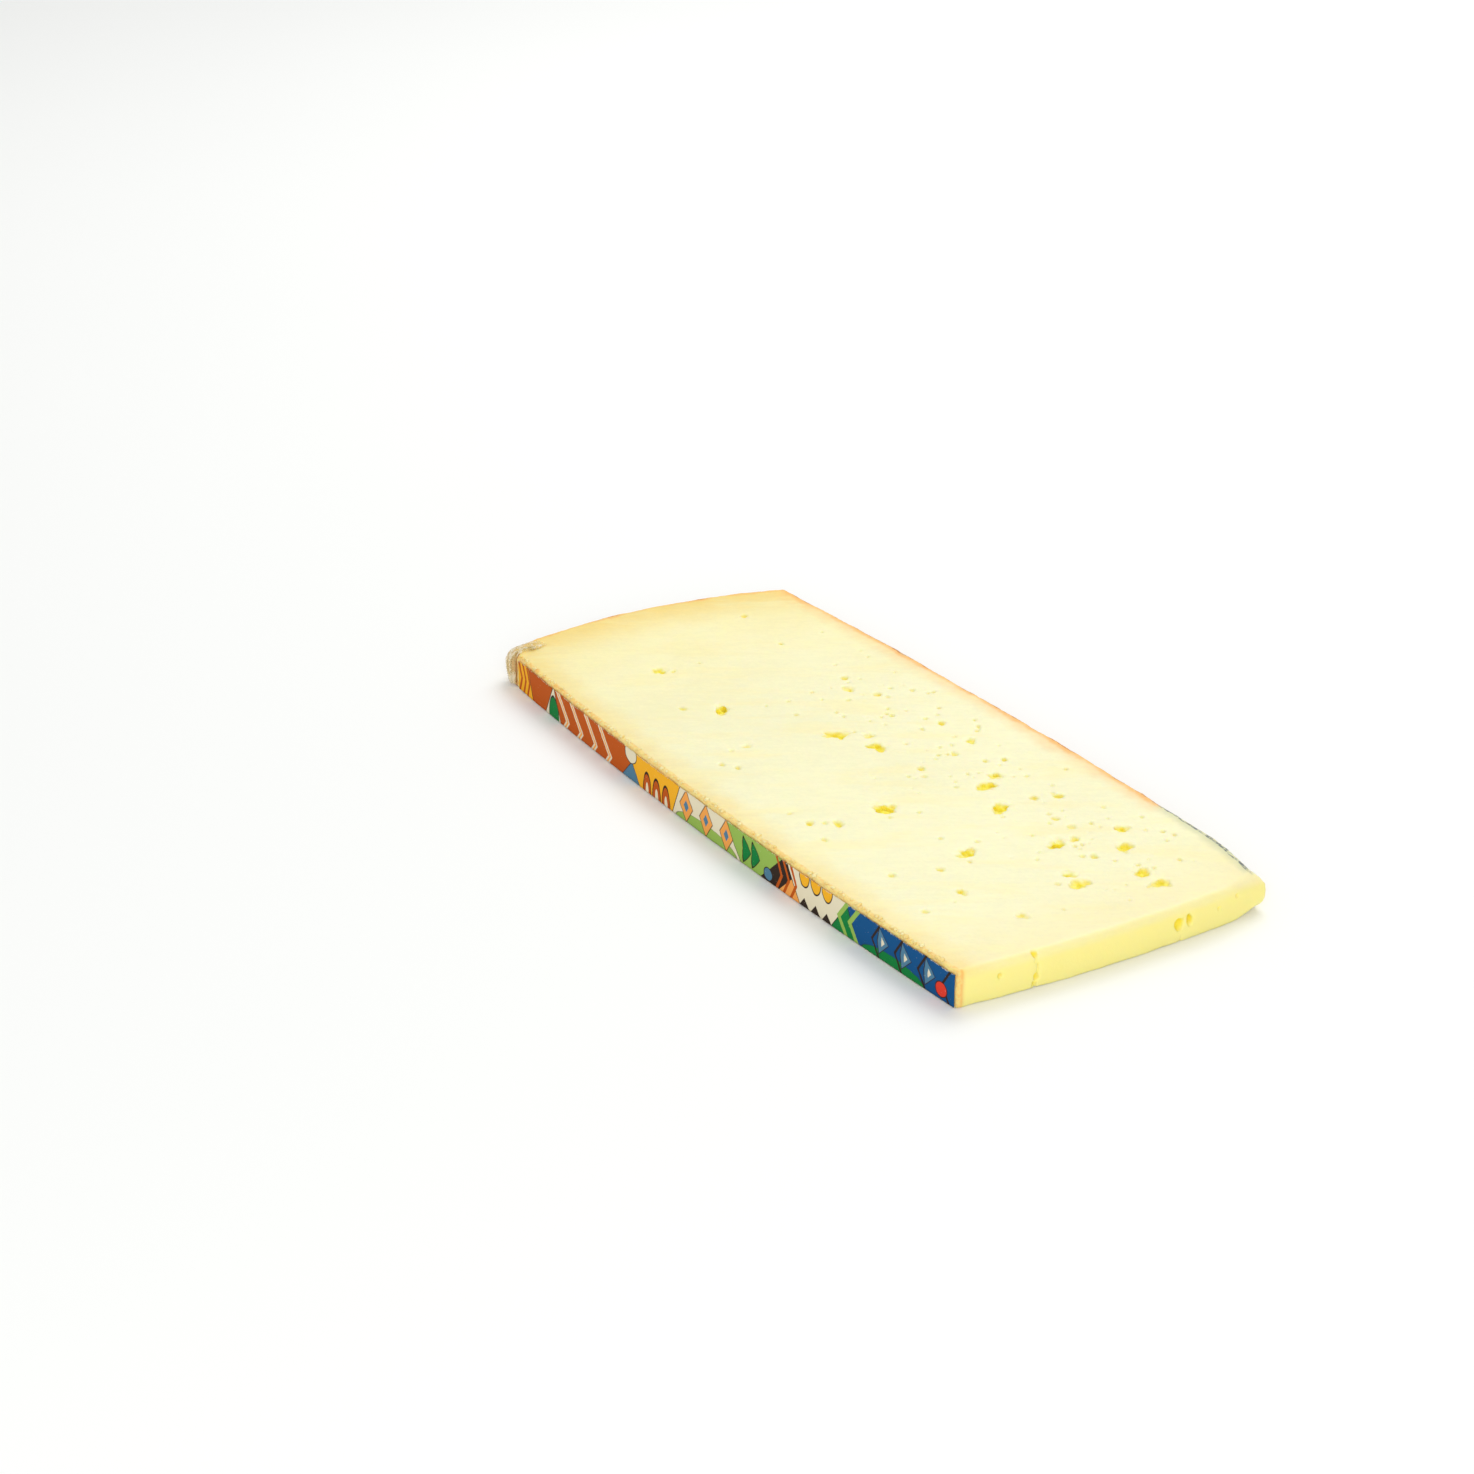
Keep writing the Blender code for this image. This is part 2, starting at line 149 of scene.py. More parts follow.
# Eyes of the top face: the large ones as place x and y, length and width in mm, and turn in degrees
LARGE_EYES = (
    (-8, 1, 5.2, 2.9, 56),
    (1, 5, 3.9, 3.1, 20),
    (-4, 6.5, 2.6, 1.8, 56),
    (24, -10, 4.6, 3.4, 40),
    (27, 13, 3.7, 3.0, 90),
    (24.5, 17, 3.1, 2.3, 56),
    (36, 9, 3.9, 2.9, 100),
    (54, 9, 3.8, 3.1, 110),
    (68, 3, 3.6, 2.7, 50),
    (64.5, 3.6, 2.6, 2.0, 50),
    (62, 19, 3.8, 2.4, 120),
    (56, 23.5, 3.0, 2.2, 30),
    (71.5, 15.5, 3.8, 2.4, 130),
    (76.5, 16, 3.5, 2.7, 60),
    (47, -7.5, 3.8, 2.8, 110),
    (-31, -12.5, 4.6, 2.6, 130),
    (9.5, 22.5, 2.9, 2.1, 110),
    (-54.5, -13, 3.2, 2.5, 20),
    (-24.5, 16, 2.6, 2.0, 56),
    (24, -21, 2.4, 2.0, 0),
    (58.5, -17.5, 2.4, 1.8, 0),
    (71.5, -13.5, 2.4, 1.8, 50),
    (-14, -17.5, 2.4, 1.5, 100),
)
# The smaller ones as place x and y and length in mm: their width and turn are drawn
SMALL_EYES = (
    (-68.5, 18.5, 1.8), (-53, -3.5, 1.2), (-52.5, -10.5, 1.7), (-51.5, 17, 1.6), (-51.5, 28, 1.3),
    (-39, 29.5, 1.4), (-36, -18.5, 2.0), (-36, 20.5, 1.4), (-35.5, 29, 1.2), (-29.5, 18.5, 1.9),
    (-19, 19.5, 2.0), (-16.5, 27, 1.4), (-14, -21, 1.4), (-13.5, 29, 1.3), (-10, -26, 1.8),
    (-9, 16, 1.6), (-7, -24, 1.6), (-6.5, 26.5, 1.3), (-4, 21, 1.6), (-0.5, 17.5, 1.5),
    (-0.5, 22.5, 2.2), (6.5, 26.5, 1.7), (12.5, 16, 1.8), (14, 6.5, 1.9), (15, -26.5, 1.6),
    (17, 5, 1.7), (18.5, 19.5, 1.9), (20, 23, 2.0), (20.5, -25.5, 2.1), (22, -23, 1.5),
    (27.5, -27, 1.9), (36.5, 17.5, 2.1), (38.5, 22, 2.4), (39.5, -8, 1.5), (44.5, -3, 1.5),
    (45.5, 15.5, 2.0), (46, -24.5, 1.7), (47, 26.5, 1.5), (49.5, -15.5, 2.1), (50, -9, 1.4),
    (50, 16, 2.0), (54, 13.5, 2.0), (59, 27, 1.3), (60.5, -27.5, 1.6), (60.5, -21, 1.2),
    (61.5, 12, 2.0),
)
SMALL_EYE_SHARES = (0.6, 0.9)
TOP_SEED = 105
# A large eye's side lobes
LOBE_SEED = 31
LOBE_SIZES = (0.45, 0.75)
LOBE_REACH = 0.45
# The shallow dish that a large eye runs out into on its far side
DISH_SPAN = 1.45
DISH_DEPTH = 0.22 * MM
DISH_SHIFT = 0.3
# How uneven each kind of eye is
UNEVENNESS = {
    "eye": 0.55, "dish": 0.5, "lobe": 0.45, "small": 0.4, "pinhole": 0.3, "base": 0.3, "end": 0.35
}
# The bumps of that unevenness: how many to a ball, broad and fine, and the fine ones' share
BROAD_BUMPS = 1.5
FINE_BUMPS = 4.5
FINE_BUMP_SHARE = 0.35

# Pinholes of the top face, in the band that has most eyes
PINHOLES = 130
PINHOLE_LENGTHS = (0.7 * MM, 1.4 * MM)
PINHOLE_FIELD_X = (-30 * MM, 78 * MM)
PINHOLE_MIDDLE_Y = 15 * MM
PINHOLE_SPREAD = 9 * MM
PINHOLE_MOST_Y = 31 * MM
PINHOLE_SEED = 77

# The eyes of the face that the slice lies on, by the solids' own rule
BASE_EYES = 34
BASE_EYE_LENGTHS = (1.4 * MM, 3.2 * MM)
BASE_EYE_GAP = 4.2 * MM
BASE_PLACE_SEED = 11
BASE_SIZE_SEED = 111
STRAY_EYE_SHARE = 0.03
EYE_FIELD_X = (-60 * MM, 74 * MM)
EYE_FIELD_Y = (-30 * MM, 30 * MM)
BAND_CREST_Y = 17 * MM
BAND_HALF_WIDTH = 14 * MM
RESTING_SPOT_RADIUS = 8 * MM

# Slots of the cut end: y, z, width and length in mm
END_SLOTS = ((12.7, 3.9, 2.1, 3.1), (15.2, 4.3, 1.4, 3.3))
END_SLOT_DEPTH = 1.3 * MM
END_SLOT_LEAN_DEGREES = 12
# Small pits of the cut end: y and z in mm, and length. The third is the dent where the crack begins
END_PITS = (
    (-19.3, 2.4, 1.9),
    (-19.7, 0.9, 1.5),
    (-19.8, 7.5, 2.4),
    (-27, 4.6, 1.5),
    (22.5, 4.3, 1.3),
    (27, 5.6, 1.3),
)
# The crack wanders: its lengths as low z, high z and y in mm
CRACK_LENGTHS = ((-0.5, 2.7, -19.4), (2.5, 5.3, -19.1), (5.1, 8.2, -19.5))
CRACK_WIDTH = 0.75 * MM
CRACK_DEPTH = 1.4 * MM
NICKS_Y = (13.3 * MM, 20.8 * MM)
NICK_HEIGHT = 1.4 * MM
CUTTER_CLEARANCE = 0.5 * MM

# The beaded rim above the paper: its run in x, its lumps and the loose crumbs that lie on it
RIM_RUN = (-80 * MM, 82 * MM)
RIM_OVERHANG = 0.5 * MM
RIM_SPREAD = 0.24 * MM
RIM_LUMP_RADII = (0.22 * MM, 0.44 * MM)
RIM_SEED = 5
CRUMB_SPREAD = 0.28 * MM
CRUMB_SIZES = (0.22 * MM, 0.55 * MM)
CRUMB_SEED = 17

# The paper strip: how far it stands off the rind, its thickness and its uneven top edge
PAPER_STAND = 0.38 * MM
PAPER_THICKNESS = 0.12 * MM
PAPER_TOP_MARGIN = 0.14 * MM
PAPER_BASE_MARGIN = 0.05 * MM
# Its edge's fray and sway and its face's ripple as height and lengths, in mm
PAPER_FRAY = (0.12, 1.1)
PAPER_SWAY = (0.14, 5)
PAPER_RIPPLE = (0.07, 6, 9)
# The film: how far it runs along each side from the corner, its least stand and its margins to the box
FILM_ON_HEEL = 4.5 * MM
FILM_ON_LABEL = 1.2 * MM
FILM_STEPS = 24
FILM_BASE_MARGIN = 0.1 * MM
FILM_BOX_MARGIN = 0.05 * MM
FILM_STAND = 0.3 * MM
FILM_LEAST_STAND = 0.12 * MM
# What the film's even puff, its belly, its pleats and its crumples add to that, in mm
FILM_PUFF, FILM_BELLY, FILM_PLEAT, FILM_CRUMPLE = 0.2, 0.5, 0.62, 0.3

MOST_TRIANGLES = 190000

# The camera is the one that the photo's slices were fitted with
CAMERA_PLACE = (0.42714, -0.31286, 0.27544)
CAMERA_TURN_DEGREES = (63.43, 0, 56.36)
SENSOR_MM = 36
# The two soft lights: place and side
KEY_LIGHT = ((-0.35, 0.55, 0.85), 0.7)
FILL_LIGHT = ((0.7, -0.5, 0.45), 0.6)
FLOOR_SIZE = 6
FLOOR_DROP = 0.05 * MM

# Node settings that come up often
SMOOTH = {"interpolation_type": "SMOOTHSTEP"}
TIMES = {"operation": "MULTIPLY"}
SHIFT = {"operation": "MULTIPLY_ADD"}
BUMP_FILTER = 0.1


def linear(code):
    """An sRGB hex colour as linear red, green and blue."""
    channels = [int(code[i:i + 2], 16) / 255 for i in (0, 2, 4)]
    return tuple(c / 12.92 if c <= 0.04045 else ((c + 0.055) / 1.055) ** 2.4 for c in channels)


def colour(name, code, description):
    """A colour that the user can change."""
    return FloatVectorProperty(
        name=name, description=description, subtype="COLOR", size=3, min=0, max=1, default=linear(code)
    )


def size(name, default, description):
    """A length that the user can change."""
    return FloatProperty(name=name, description=description, default=default, unit="LENGTH", precision=4)


class CheeseLook(bpy.types.PropertyGroup):
    """Sizes and colours of the cheese."""

    voxel: size("Grain", 0.25 * MM, "Fineness of the cheese's surface")
    eye_depth: FloatProperty(name="Eye depth", description="An eye's depth to its width", default=0.3)
    eye_tilt: FloatProperty(
        name="Eye tilt", description="How far an eye leans to the near side", default=0.6, unit="ROTATION"
    )
    rim_lumps: IntProperty(name="Rim lumps", description="Lumps along the labelled rim", default=560)
    crumbs: IntProperty(name="Crumbs", description="Loose crumbs along the labelled rim", default=110)
    paste: colour("Paste", "F1EDC2", "Cut paste in the middle of the slice")
    paste_heel: colour("Heel paste", "F5EAAE", "Cut paste towards the heel")
    paste_edge: colour("Edge paste", "EFD070", "Cut paste beside the rind")
    # The cut end's yellow is partly its drier paste and partly painted shade of the upright face, which
    # gets less light than the top
    old_cut_and_shade: colour("Old cut", "F7EA92", "The drier, older cut end")
    # The eye colour is partly the paste's own deeper yellow and partly painted shade in the eyes' hollows
    eye: colour("Eye", "F6E545", "Paste inside the eyes")
    under_rind: colour("Under the rind", "F2B45C", "The peach layer under the rind")
    rim_crust: colour("Rim crust", "F2D684", "The crumbly crust above the label")
    rind_core: colour("Rind in section", "F5A23C", "The rind where the cut end shows it")
    rind: colour("Rind", "D0862F", "The washed rind")
    # Dark rind also serves as the painted shade between the film and the paper
    rind_dark: colour("Dark rind", "9A5A26", "Hollows and stains of the rind")
    rind_pale: colour("Pale rind", "F2E0B4", "Dry, worn places of the rind")
    mould: colour("Mould", "626B6B", "Grey-blue mould at the nose")
    mould_tint: colour("Mould tint", "C9CBA0", "Greyish paste beside the mould")
    mould_bloom: colour("Mould bloom", "F3EFDF", "White bloom outside the mould")


class LabelLook(bpy.types.PropertyGroup):
    """Colours of the printed strip."""

    yellow: colour("Yellow", "F2B01E", "Yellow ink")
    rust: colour("Rust", "BC5408", "Rust-red ink")
    slate: colour("Slate", "4F7C97", "Slate-blue ink")
    cream: colour("Cream", "E4DABC", "Unprinted cream paper")
    lime: colour("Lime", "94B652", "Light green ink")
    peach: colour("Peach", "F0A24E", "Peach ink")
    brown: colour("Brown", "2E1F16", "Dark brown ink")
    green: colour("Green", "037C38", "Green ink")
    navy: colour("Navy", "024E84", "Navy ink")
    red: colour("Red", "DE3A28", "Red ink")
    fibre: colour("Fibre", "F0E6CC", "Bare paper at the cut edges")


class FilmLook(bpy.types.PropertyGroup):
    """Sizes and colour of the clear film."""

    thickness: size("Thickness", 0.06 * MM, "Thickness of the film")
    flap: size("Flap", 2.6 * MM, "How far the film lies over the top face")
    clear: colour("Film", "F2DC98", "The film's faint tint")
    crease: colour("Crease", "FBF1D2", "The whitish light in its creases")


class StageLook(bpy.types.PropertyGroup):
    """Floor, lights and camera."""

    floor: colour("Floor", "F7F8F6", "The floor")
    sky: FloatProperty(name="Sky", description="Strength of the white surroundings", default=0.6)
    key: FloatProperty(name="Key", description="Power of the key light in watts", default=5.5)
    fill: FloatProperty(name="Fill", description="Power of the fill light in watts", default=3.5)
    lens: FloatProperty(name="Lens", description="Focal length in mm on a 36 mm sensor", default=70.83)


def select_only(thing):
    """Leaves one object selected and active."""
    bpy.ops.object.select_all(action="DESELECT")
    thing.select_set(True)
    bpy.context.view_layer.objects.active = thing


def new_primitive(name, operator, **settings):
    """Adds a primitive with nothing else selected, and names it."""
    bpy.ops.object.select_all(action="DESELECT")
    operator(**settings)
    thing = bpy.context.active_object
    thing.name = name
    return thing


def apply_modifier(thing, kind, **settings):
    """Adds a modifier with its settings and applies it."""
    select_only(thing)
    modifier = thing.modifiers.new(kind.lower(), kind)
    for name, value in settings.items():
        setattr(modifier, name, value)
    bpy.ops.object.modifier_apply(modifier=modifier.name)


def copy_of(pattern, collection):
    """A copy of a pattern object with a mesh of its own."""
    thing = pattern.copy()
    thing.data = pattern.data.copy()
    collection.objects.link(thing)
    return thing


def edit_whole(thing, operator, **settings):
    """Runs a mesh operator on all of an object's mesh."""
    select_only(thing)
    bpy.ops.object.mode_set(mode="EDIT")
    bpy.ops.mesh.select_all(action="SELECT")
    operator(**settings)
    bpy.ops.object.mode_set(mode="OBJECT")


def apply_place(thing):
    """Moves an object's place, turn and scale into its mesh."""
    select_only(thing)
    bpy.ops.object.transform_apply(location=True, rotation=True, scale=True)


def points_of(thing):
    """The places of an object's vertices as an array."""
    places = np.empty(len(thing.data.vertices) * 3, dtype=np.float32)
    thing.data.vertices.foreach_get("co", places)
    return places.reshape(-1, 3).astype(np.float64)


def set_points(thing, places):
    """Gives an object's vertices new places."""
    thing.data.vertices.foreach_set("co", places.astype(np.float32).ravel())
    thing.data.update()


def set_amounts(thing, name, amounts):
    """Stores one number for each vertex."""
    layer = thing.data.attributes.new(name, "FLOAT", "POINT")
    layer.data.foreach_set("value", amounts.astype(np.float32))


def fall(distance, reach):
    """1 at no distance, falling to 0 at reach, for a number or an array."""
    return np.clip(1 - distance / reach, 0, 1)


def ease(share):
    """A share from 0 to 1, eased at both ends."""
    return share * share * (3 - 2 * share)


def side_arcs():
    """The sides as circles (centre, radius), anticlockwise from the labelled side."""
    return (
        (Vector((LABEL_SIDE_CREST_X, MIDDLE_Y + LABEL_SIDE_RADIUS - HALF_WIDTH)), LABEL_SIDE_RADIUS),
        (Vector((HALF_LENGTH - END_RADIUS, MIDDLE_Y + END_CREST_Y)), END_RADIUS),
        (Vector((FAR_SIDE_CREST_X, MIDDLE_Y + HALF_WIDTH - FAR_SIDE_RADIUS)), FAR_SIDE_RADIUS),
        (Vector((HEEL_RADIUS - HALF_LENGTH, MIDDLE_Y + HEEL_CREST_Y)), HEEL_RADIUS),
    )


def crossing(side_a, side_b, quadrant, inset=0.0):
    """Where two side circles cross, each drawn in by inset, on the side that quadrant points to."""
    (centre_a, big_a), (centre_b, big_b) = side_a, side_b
    across = centre_b - centre_a
    span = across.length
    along = ((big_a - inset) ** 2 - (big_b - inset) ** 2 + span ** 2) / (2 * span)
    aside = math.sqrt((big_a - inset) ** 2 - along ** 2)
    foot = centre_a + across * (along / span)
    off = Vector((-across.y, across.x)) * (aside / span)
    return max(foot + off, foot - off, key=lambda point: point.dot(quadrant))


def side_depths(places, arcs):
    """How far each point lies inside each side."""
    return [
        radius - np.hypot(places[:, 0] - centre.x, places[:, 1] - centre.y) for centre, radius in arcs
    ]


def end_face_x(y):
    """Where the cut end's face is at a given y."""
    centre, radius = side_arcs()[END]
    return centre.x + math.sqrt(radius ** 2 - (y - centre.y) ** 2)


def label_side_y(x):
    """Where the labelled side's face is at a given x."""
    centre, radius = side_arcs()[LABEL]
    return centre.y - math.sqrt(radius ** 2 - (x - centre.x) ** 2)


def slab(arcs):
    """The uncut slice: a block cut to the four side arcs, its upright corners rounded."""
    margin = 4 * MM
    block = new_primitive(
        "cheese_slice",
        bpy.ops.mesh.primitive_cube_add,
        size=1,
        location=(0, MIDDLE_Y, THICKNESS / 2),
        scale=(2 * HALF_LENGTH + margin, 2 * HALF_WIDTH + margin, THICKNESS),
    )
    apply_place(block)
    for centre, radius in arcs:
        step = LONG_ARC_STEP if radius > END_RADIUS else ARC_STEP
        drum = new_primitive(
            "side_arc",
            bpy.ops.mesh.primitive_cylinder_add,
            vertices=round(2 * math.pi * radius / step),
            radius=radius,
            depth=3 * THICKNESS,
            location=(*centre, THICKNESS / 2),
        )
        apply_place(drum)
        apply_modifier(block, "BOOLEAN", object=drum, operation="INTERSECT", solver="MANIFOLD")
        bpy.data.objects.remove(drum)
    for number, radius in enumerate(CORNER_RADII):
        round_upright_corner(block, arcs, number, radius)
    return block


def round_upright_corner(block, arcs, number, radius):
    """Bevels the upright edge where a side meets the next one."""
    side_a, side_b = arcs[number], arcs[(number + 1) % 4]
    corner = crossing(side_a, side_b, QUADRANTS[number])
    turn = (corner - side_a[0]).angle(corner - side_b[0])
    select_only(block)
    bpy.ops.object.mode_set(mode="EDIT")
    bpy.ops.mesh.select_mode(type="EDGE")
    bpy.ops.mesh.select_all(action="DESELECT")
    bpy.ops.object.mode_set(mode="OBJECT")
    places = block.data.vertices
    for edge in block.data.edges:
        low, high = (places[index].co for index in edge.vertices)
        upright = abs(low.z - high.z) > THICKNESS / 2
        edge.select = upright and (low.xy - corner).length < CORNER_TOLERANCE
    bpy.ops.object.mode_set(mode="EDIT")
    bpy.ops.mesh.bevel(offset=radius * math.tan(turn / 2), segments=6, affect="EDGES")
    bpy.ops.object.mode_set(mode="OBJECT")


def shaped_blob(pattern, place, spans, turn, unevenness, group):
    """Adds a copy of the pattern ball, made uneven and put in place as a cutter."""
    blob = copy_of(pattern, group)
    shift = place / (3 * MM)
    for vertex in blob.data.vertices:
        way = vertex.co.normalized()
        broad = noise.noise(way * BROAD_BUMPS + shift)
        fine = noise.noise(way * FINE_BUMPS + shift)
        swell = 1 + unevenness * (broad + FINE_BUMP_SHARE * fine)
        vertex.co = Vector((way.x * spans[0], way.y * spans[1], way.z * spans[2])) * (swell / 2)
    blob.data.transform(Matrix.Translation(place) @ turn)


def lean_to_near(turn, tilt):
    """A turn about the vertical, a lean that deepens a dent's near side, and a stretch to its far side."""
    lean = Matrix.Rotation(-tilt, 4, RIGHT_WAY) @ Matrix.Rotation(turn, 4, "Z")
    return Matrix.Scale(EYE_STRETCH, 4, FAR_WAY) @ lean


def eye_blobs(look, group):
    """Cutters for the eyes of the top face."""
    coarse = new_primitive("ball", bpy.ops.mesh.primitive_ico_sphere_add, subdivisions=3, radius=1)
    fine = new_primitive("fine_ball", bpy.ops.mesh.primitive_ico_sphere_add, subdivisions=4, radius=1)
    depth = look.eye_depth
    tilt = look.eye_tilt
    draw = random.Random(LOBE_SEED)
    for x, y, length, width, turn in LARGE_EYES:
        place = Vector((x * MM, y * MM + MIDDLE_Y, THICKNESS))
        spans = (length * MM, width * MM, 2 * depth * width * MM)
        angle = math.radians(turn)
        shaped_blob(fine, place, spans, lean_to_near(angle, tilt), UNEVENNESS["eye"], group)
        dish = (DISH_SPAN * spans[0], DISH_SPAN * spans[1], 4 * DISH_DEPTH)
        spot = place + FAR_WAY * (DISH_SHIFT * spans[1]) + Vector((0, 0, DISH_DEPTH))
        shaped_blob(fine, spot, dish, Matrix.Rotation(angle, 4, "Z"), UNEVENNESS["dish"], group)
        for lobe in range(2):
            aside = angle + draw.uniform(-1.0, 1.0) + math.pi * lobe
            way = Vector((math.cos(aside), math.sin(aside), 0))
            share = draw.uniform(*LOBE_SIZES)
            spot = place + way * (LOBE_REACH * (length + width) / 2 * MM)
            lean = lean_to_near(draw.uniform(0, math.pi), tilt)
            small = (share * spans[1], share * spans[1] * 1.2, share * spans[2])
            shaped_blob(coarse, spot, small, lean, UNEVENNESS["lobe"], group)
    draw = random.Random(TOP_SEED)
    for x, y, length in SMALL_EYES:
        width = length * draw.uniform(*SMALL_EYE_SHARES) * MM
        turn = lean_to_near(draw.uniform(0, math.pi), tilt)
        place = Vector((x * MM, y * MM + MIDDLE_Y, THICKNESS))
        spans = (length * MM, width, 2.4 * depth * width)
        shaped_blob(coarse, place, spans, turn, UNEVENNESS["small"], group)
    draw = random.Random(PINHOLE_SEED)
    for _ in range(PINHOLES):
        x = draw.uniform(*PINHOLE_FIELD_X)
        y = draw.gauss(PINHOLE_MIDDLE_Y, PINHOLE_SPREAD)
        length = draw.uniform(*PINHOLE_LENGTHS)
        turn = lean_to_near(draw.uniform(0, math.pi), tilt)
        if y < PINHOLE_MOST_Y:
            spans = (length, 0.7 * length, 0.8 * length)
            place = Vector((x, y, THICKNESS))
            shaped_blob(coarse, place, spans, turn, UNEVENNESS["pinhole"], group)
    base_eyes(coarse, depth, group)
    end_eyes(coarse, group)
    bpy.data.objects.remove(coarse)
    bpy.data.objects.remove(fine)


def base_eyes(ball, depth, group):
    """Cutters for the eyes of the lower face, thickest in the band, clear of the resting spot."""
    draw = random.Random(BASE_PLACE_SEED)
    places = []
    while len(places) < BASE_EYES:
        x = draw.uniform(*EYE_FIELD_X)
        y = draw.uniform(*EYE_FIELD_Y)
        share = ease(fall(abs(y - BAND_CREST_Y), BAND_HALF_WIDTH))
        rightward = (x - EYE_FIELD_X[0]) / (EYE_FIELD_X[1] - EYE_FIELD_X[0])
        wanted = draw.random() < STRAY_EYE_SHARE + share * rightward ** 2
        spot = Vector((x, y))
        near = any((spot - other).length < BASE_EYE_GAP for other in places)
        if wanted and not near and spot.length > RESTING_SPOT_RADIUS:
            places.append(spot)
    draw = random.Random(BASE_SIZE_SEED)
    for spot in places:
        length = draw.uniform(*BASE_EYE_LENGTHS)
        width = length * draw.uniform(*SMALL_EYE_SHARES)
        turn = Matrix.Rotation(draw.uniform(0, math.pi), 4, "Z")
        place = Vector((spot.x, spot.y + MIDDLE_Y, 0))
        shaped_blob(ball, place, (length, width, 2 * depth * width), turn, UNEVENNESS["base"], group)


def end_eyes(ball, group):
    """Cutters for the slots and the pits of the cut end."""
    lean = Matrix.Rotation(math.radians(END_SLOT_LEAN_DEGREES), 4, "X")
    slots = [(y, z, (2 * END_SLOT_DEPTH, width * MM, length * MM)) for y, z, width, length in END_SLOTS]
    pits = [(y, z, (0.9 * length * MM, 0.6 * length * MM, length * MM)) for y, z, length in END_PITS]
    for y, z, spans in slots + pits:
        y = y * MM + MIDDLE_Y
        place = Vector((end_face_x(y), y, z * MM))
        shaped_blob(ball, place, spans, lean, UNEVENNESS["end"], group)


def wedge(y, width, depth, low, high, group):
    """An upright wedge that cuts a crack or a nick into the cut end."""
    y += MIDDLE_Y
    deepest = end_face_x(y) - depth
    prism = new_primitive(
        "wedge", bpy.ops.mesh.primitive_cylinder_add, vertices=3, radius=1, depth=1, location=(0, 0, 0)
    )
    points = points_of(prism)
    tip = np.argmax(points[:, 1])
    is_tip = np.abs(points[:, 0] - points[tip, 0]) < 1e-3
    side = np.sign(points[:, 0])
    points[:, 2] = low + (points[:, 2] + 0.5) * (high - low)
    points[:, 1] = np.where(is_tip, y, y + side * width)
    points[:, 0] = np.where(is_tip, deepest, deepest + (depth + CUTTER_CLEARANCE))
    set_points(prism, points)
    edit_whole(prism, bpy.ops.mesh.normals_make_consistent, inside=False)
    for home in prism.users_collection:
        home.objects.unlink(prism)
    group.objects.link(prism)


def rim_lumps(count):
    """Lumps that bead the rim above the paper strip."""
    ball = new_primitive("lump", bpy.ops.mesh.primitive_ico_sphere_add, subdivisions=2, radius=1)
    draw = random.Random(RIM_SEED)
    lumps = []
    for _ in range(count):
        x = draw.uniform(*RIM_RUN)
        inward = abs(draw.gauss(0, RIM_SPREAD))
        radius = draw.uniform(*RIM_LUMP_RADII)
        y = label_side_y(x) - RIM_OVERHANG + radius + inward
        place = Vector((x, y, THICKNESS - radius * draw.uniform(0.7, 1.35)))
        lump = copy_of(ball, bpy.context.scene.collection)
        spans = [radius * draw.uniform(0.8, 1.3) for _ in range(3)]
        for vertex in lump.data.vertices:
            way = vertex.co.normalized()
            swell = 1 + 0.4 * noise.noise(way * 1.5 + place / MM)
            vertex.co = Vector((way.x * spans[0], way.y * spans[1], way.z * radius)) * swell
        lump.data.transform(Matrix.Translation(place))
        lumps.append(lump)
    bpy.data.objects.remove(ball)
    return lumps


def join_all(target, others):
    """Joins objects into the target."""
    bpy.ops.object.select_all(action="DESELECT")
    for thing in others:
        thing.select_set(True)
    target.select_set(True)
    bpy.context.view_layer.objects.active = target
    bpy.ops.object.join()


def corner_share(places, corner, reach):
    """1 at a corner, falling smoothly to 0 at reach, for each point."""
    return ease(fall(np.hypot(places[:, 0] - corner.x, places[:, 1] - corner.y), reach))


def round_edges(places, arcs):
    """Rounds the top and bottom edges, point by point: most at the nose, some at the heel corner."""
    corner = crossing(arcs[END], arcs[FAR], QUADRANTS[END])
    nose = corner_share(places, corner, NOSE_TOP_REACH)
    nose_base = corner_share(places, corner, NOSE_BASE_REACH)
    heel = corner_share(places, crossing(arcs[HEEL], arcs[LABEL], QUADRANTS[HEEL]), HEEL_REACH)
    top = EDGE_ROUND + (NOSE_TOP_ROUND - EDGE_ROUND) * nose + (HEEL_TOP_ROUND - EDGE_ROUND) * heel
    base = EDGE_ROUND + (NOSE_BASE_ROUND - EDGE_ROUND) * nose_base
    begun = np.clip((places[:, 1] - CHEESE_LOW.y) / END_ROUND_RUN, 0, 1)
    end_top = EDGE_ROUND + (END_TOP_ROUND - EDGE_ROUND) * ease(begun)
    for number, (centre, radius) in enumerate(arcs):
        for is_top in (True, False):
            rounding = top if is_top else base
            if is_top and number == END:
                rounding = np.maximum(top, end_top)
            out = places[:, :2] - np.array(centre)
            reach = np.maximum(np.linalg.norm(out, axis=1), TINY)
            inside = radius - reach
            down = THICKNESS - places[:, 2] if is_top else places[:, 2]
            along = rounding - inside
            below = rounding - down
            diagonal = np.hypot(along, below)
            shown = (along > 0) & (below > 0) & (diagonal > rounding)
            share = np.where(shown, rounding / np.maximum(diagonal, TINY), 1.0)
            places[:, :2] -= out / reach[:, None] * (along * (1 - share) * shown)[:, None]
            drop = below * (1 - share) * shown
            places[:, 2] += -drop if is_top else drop
    return places


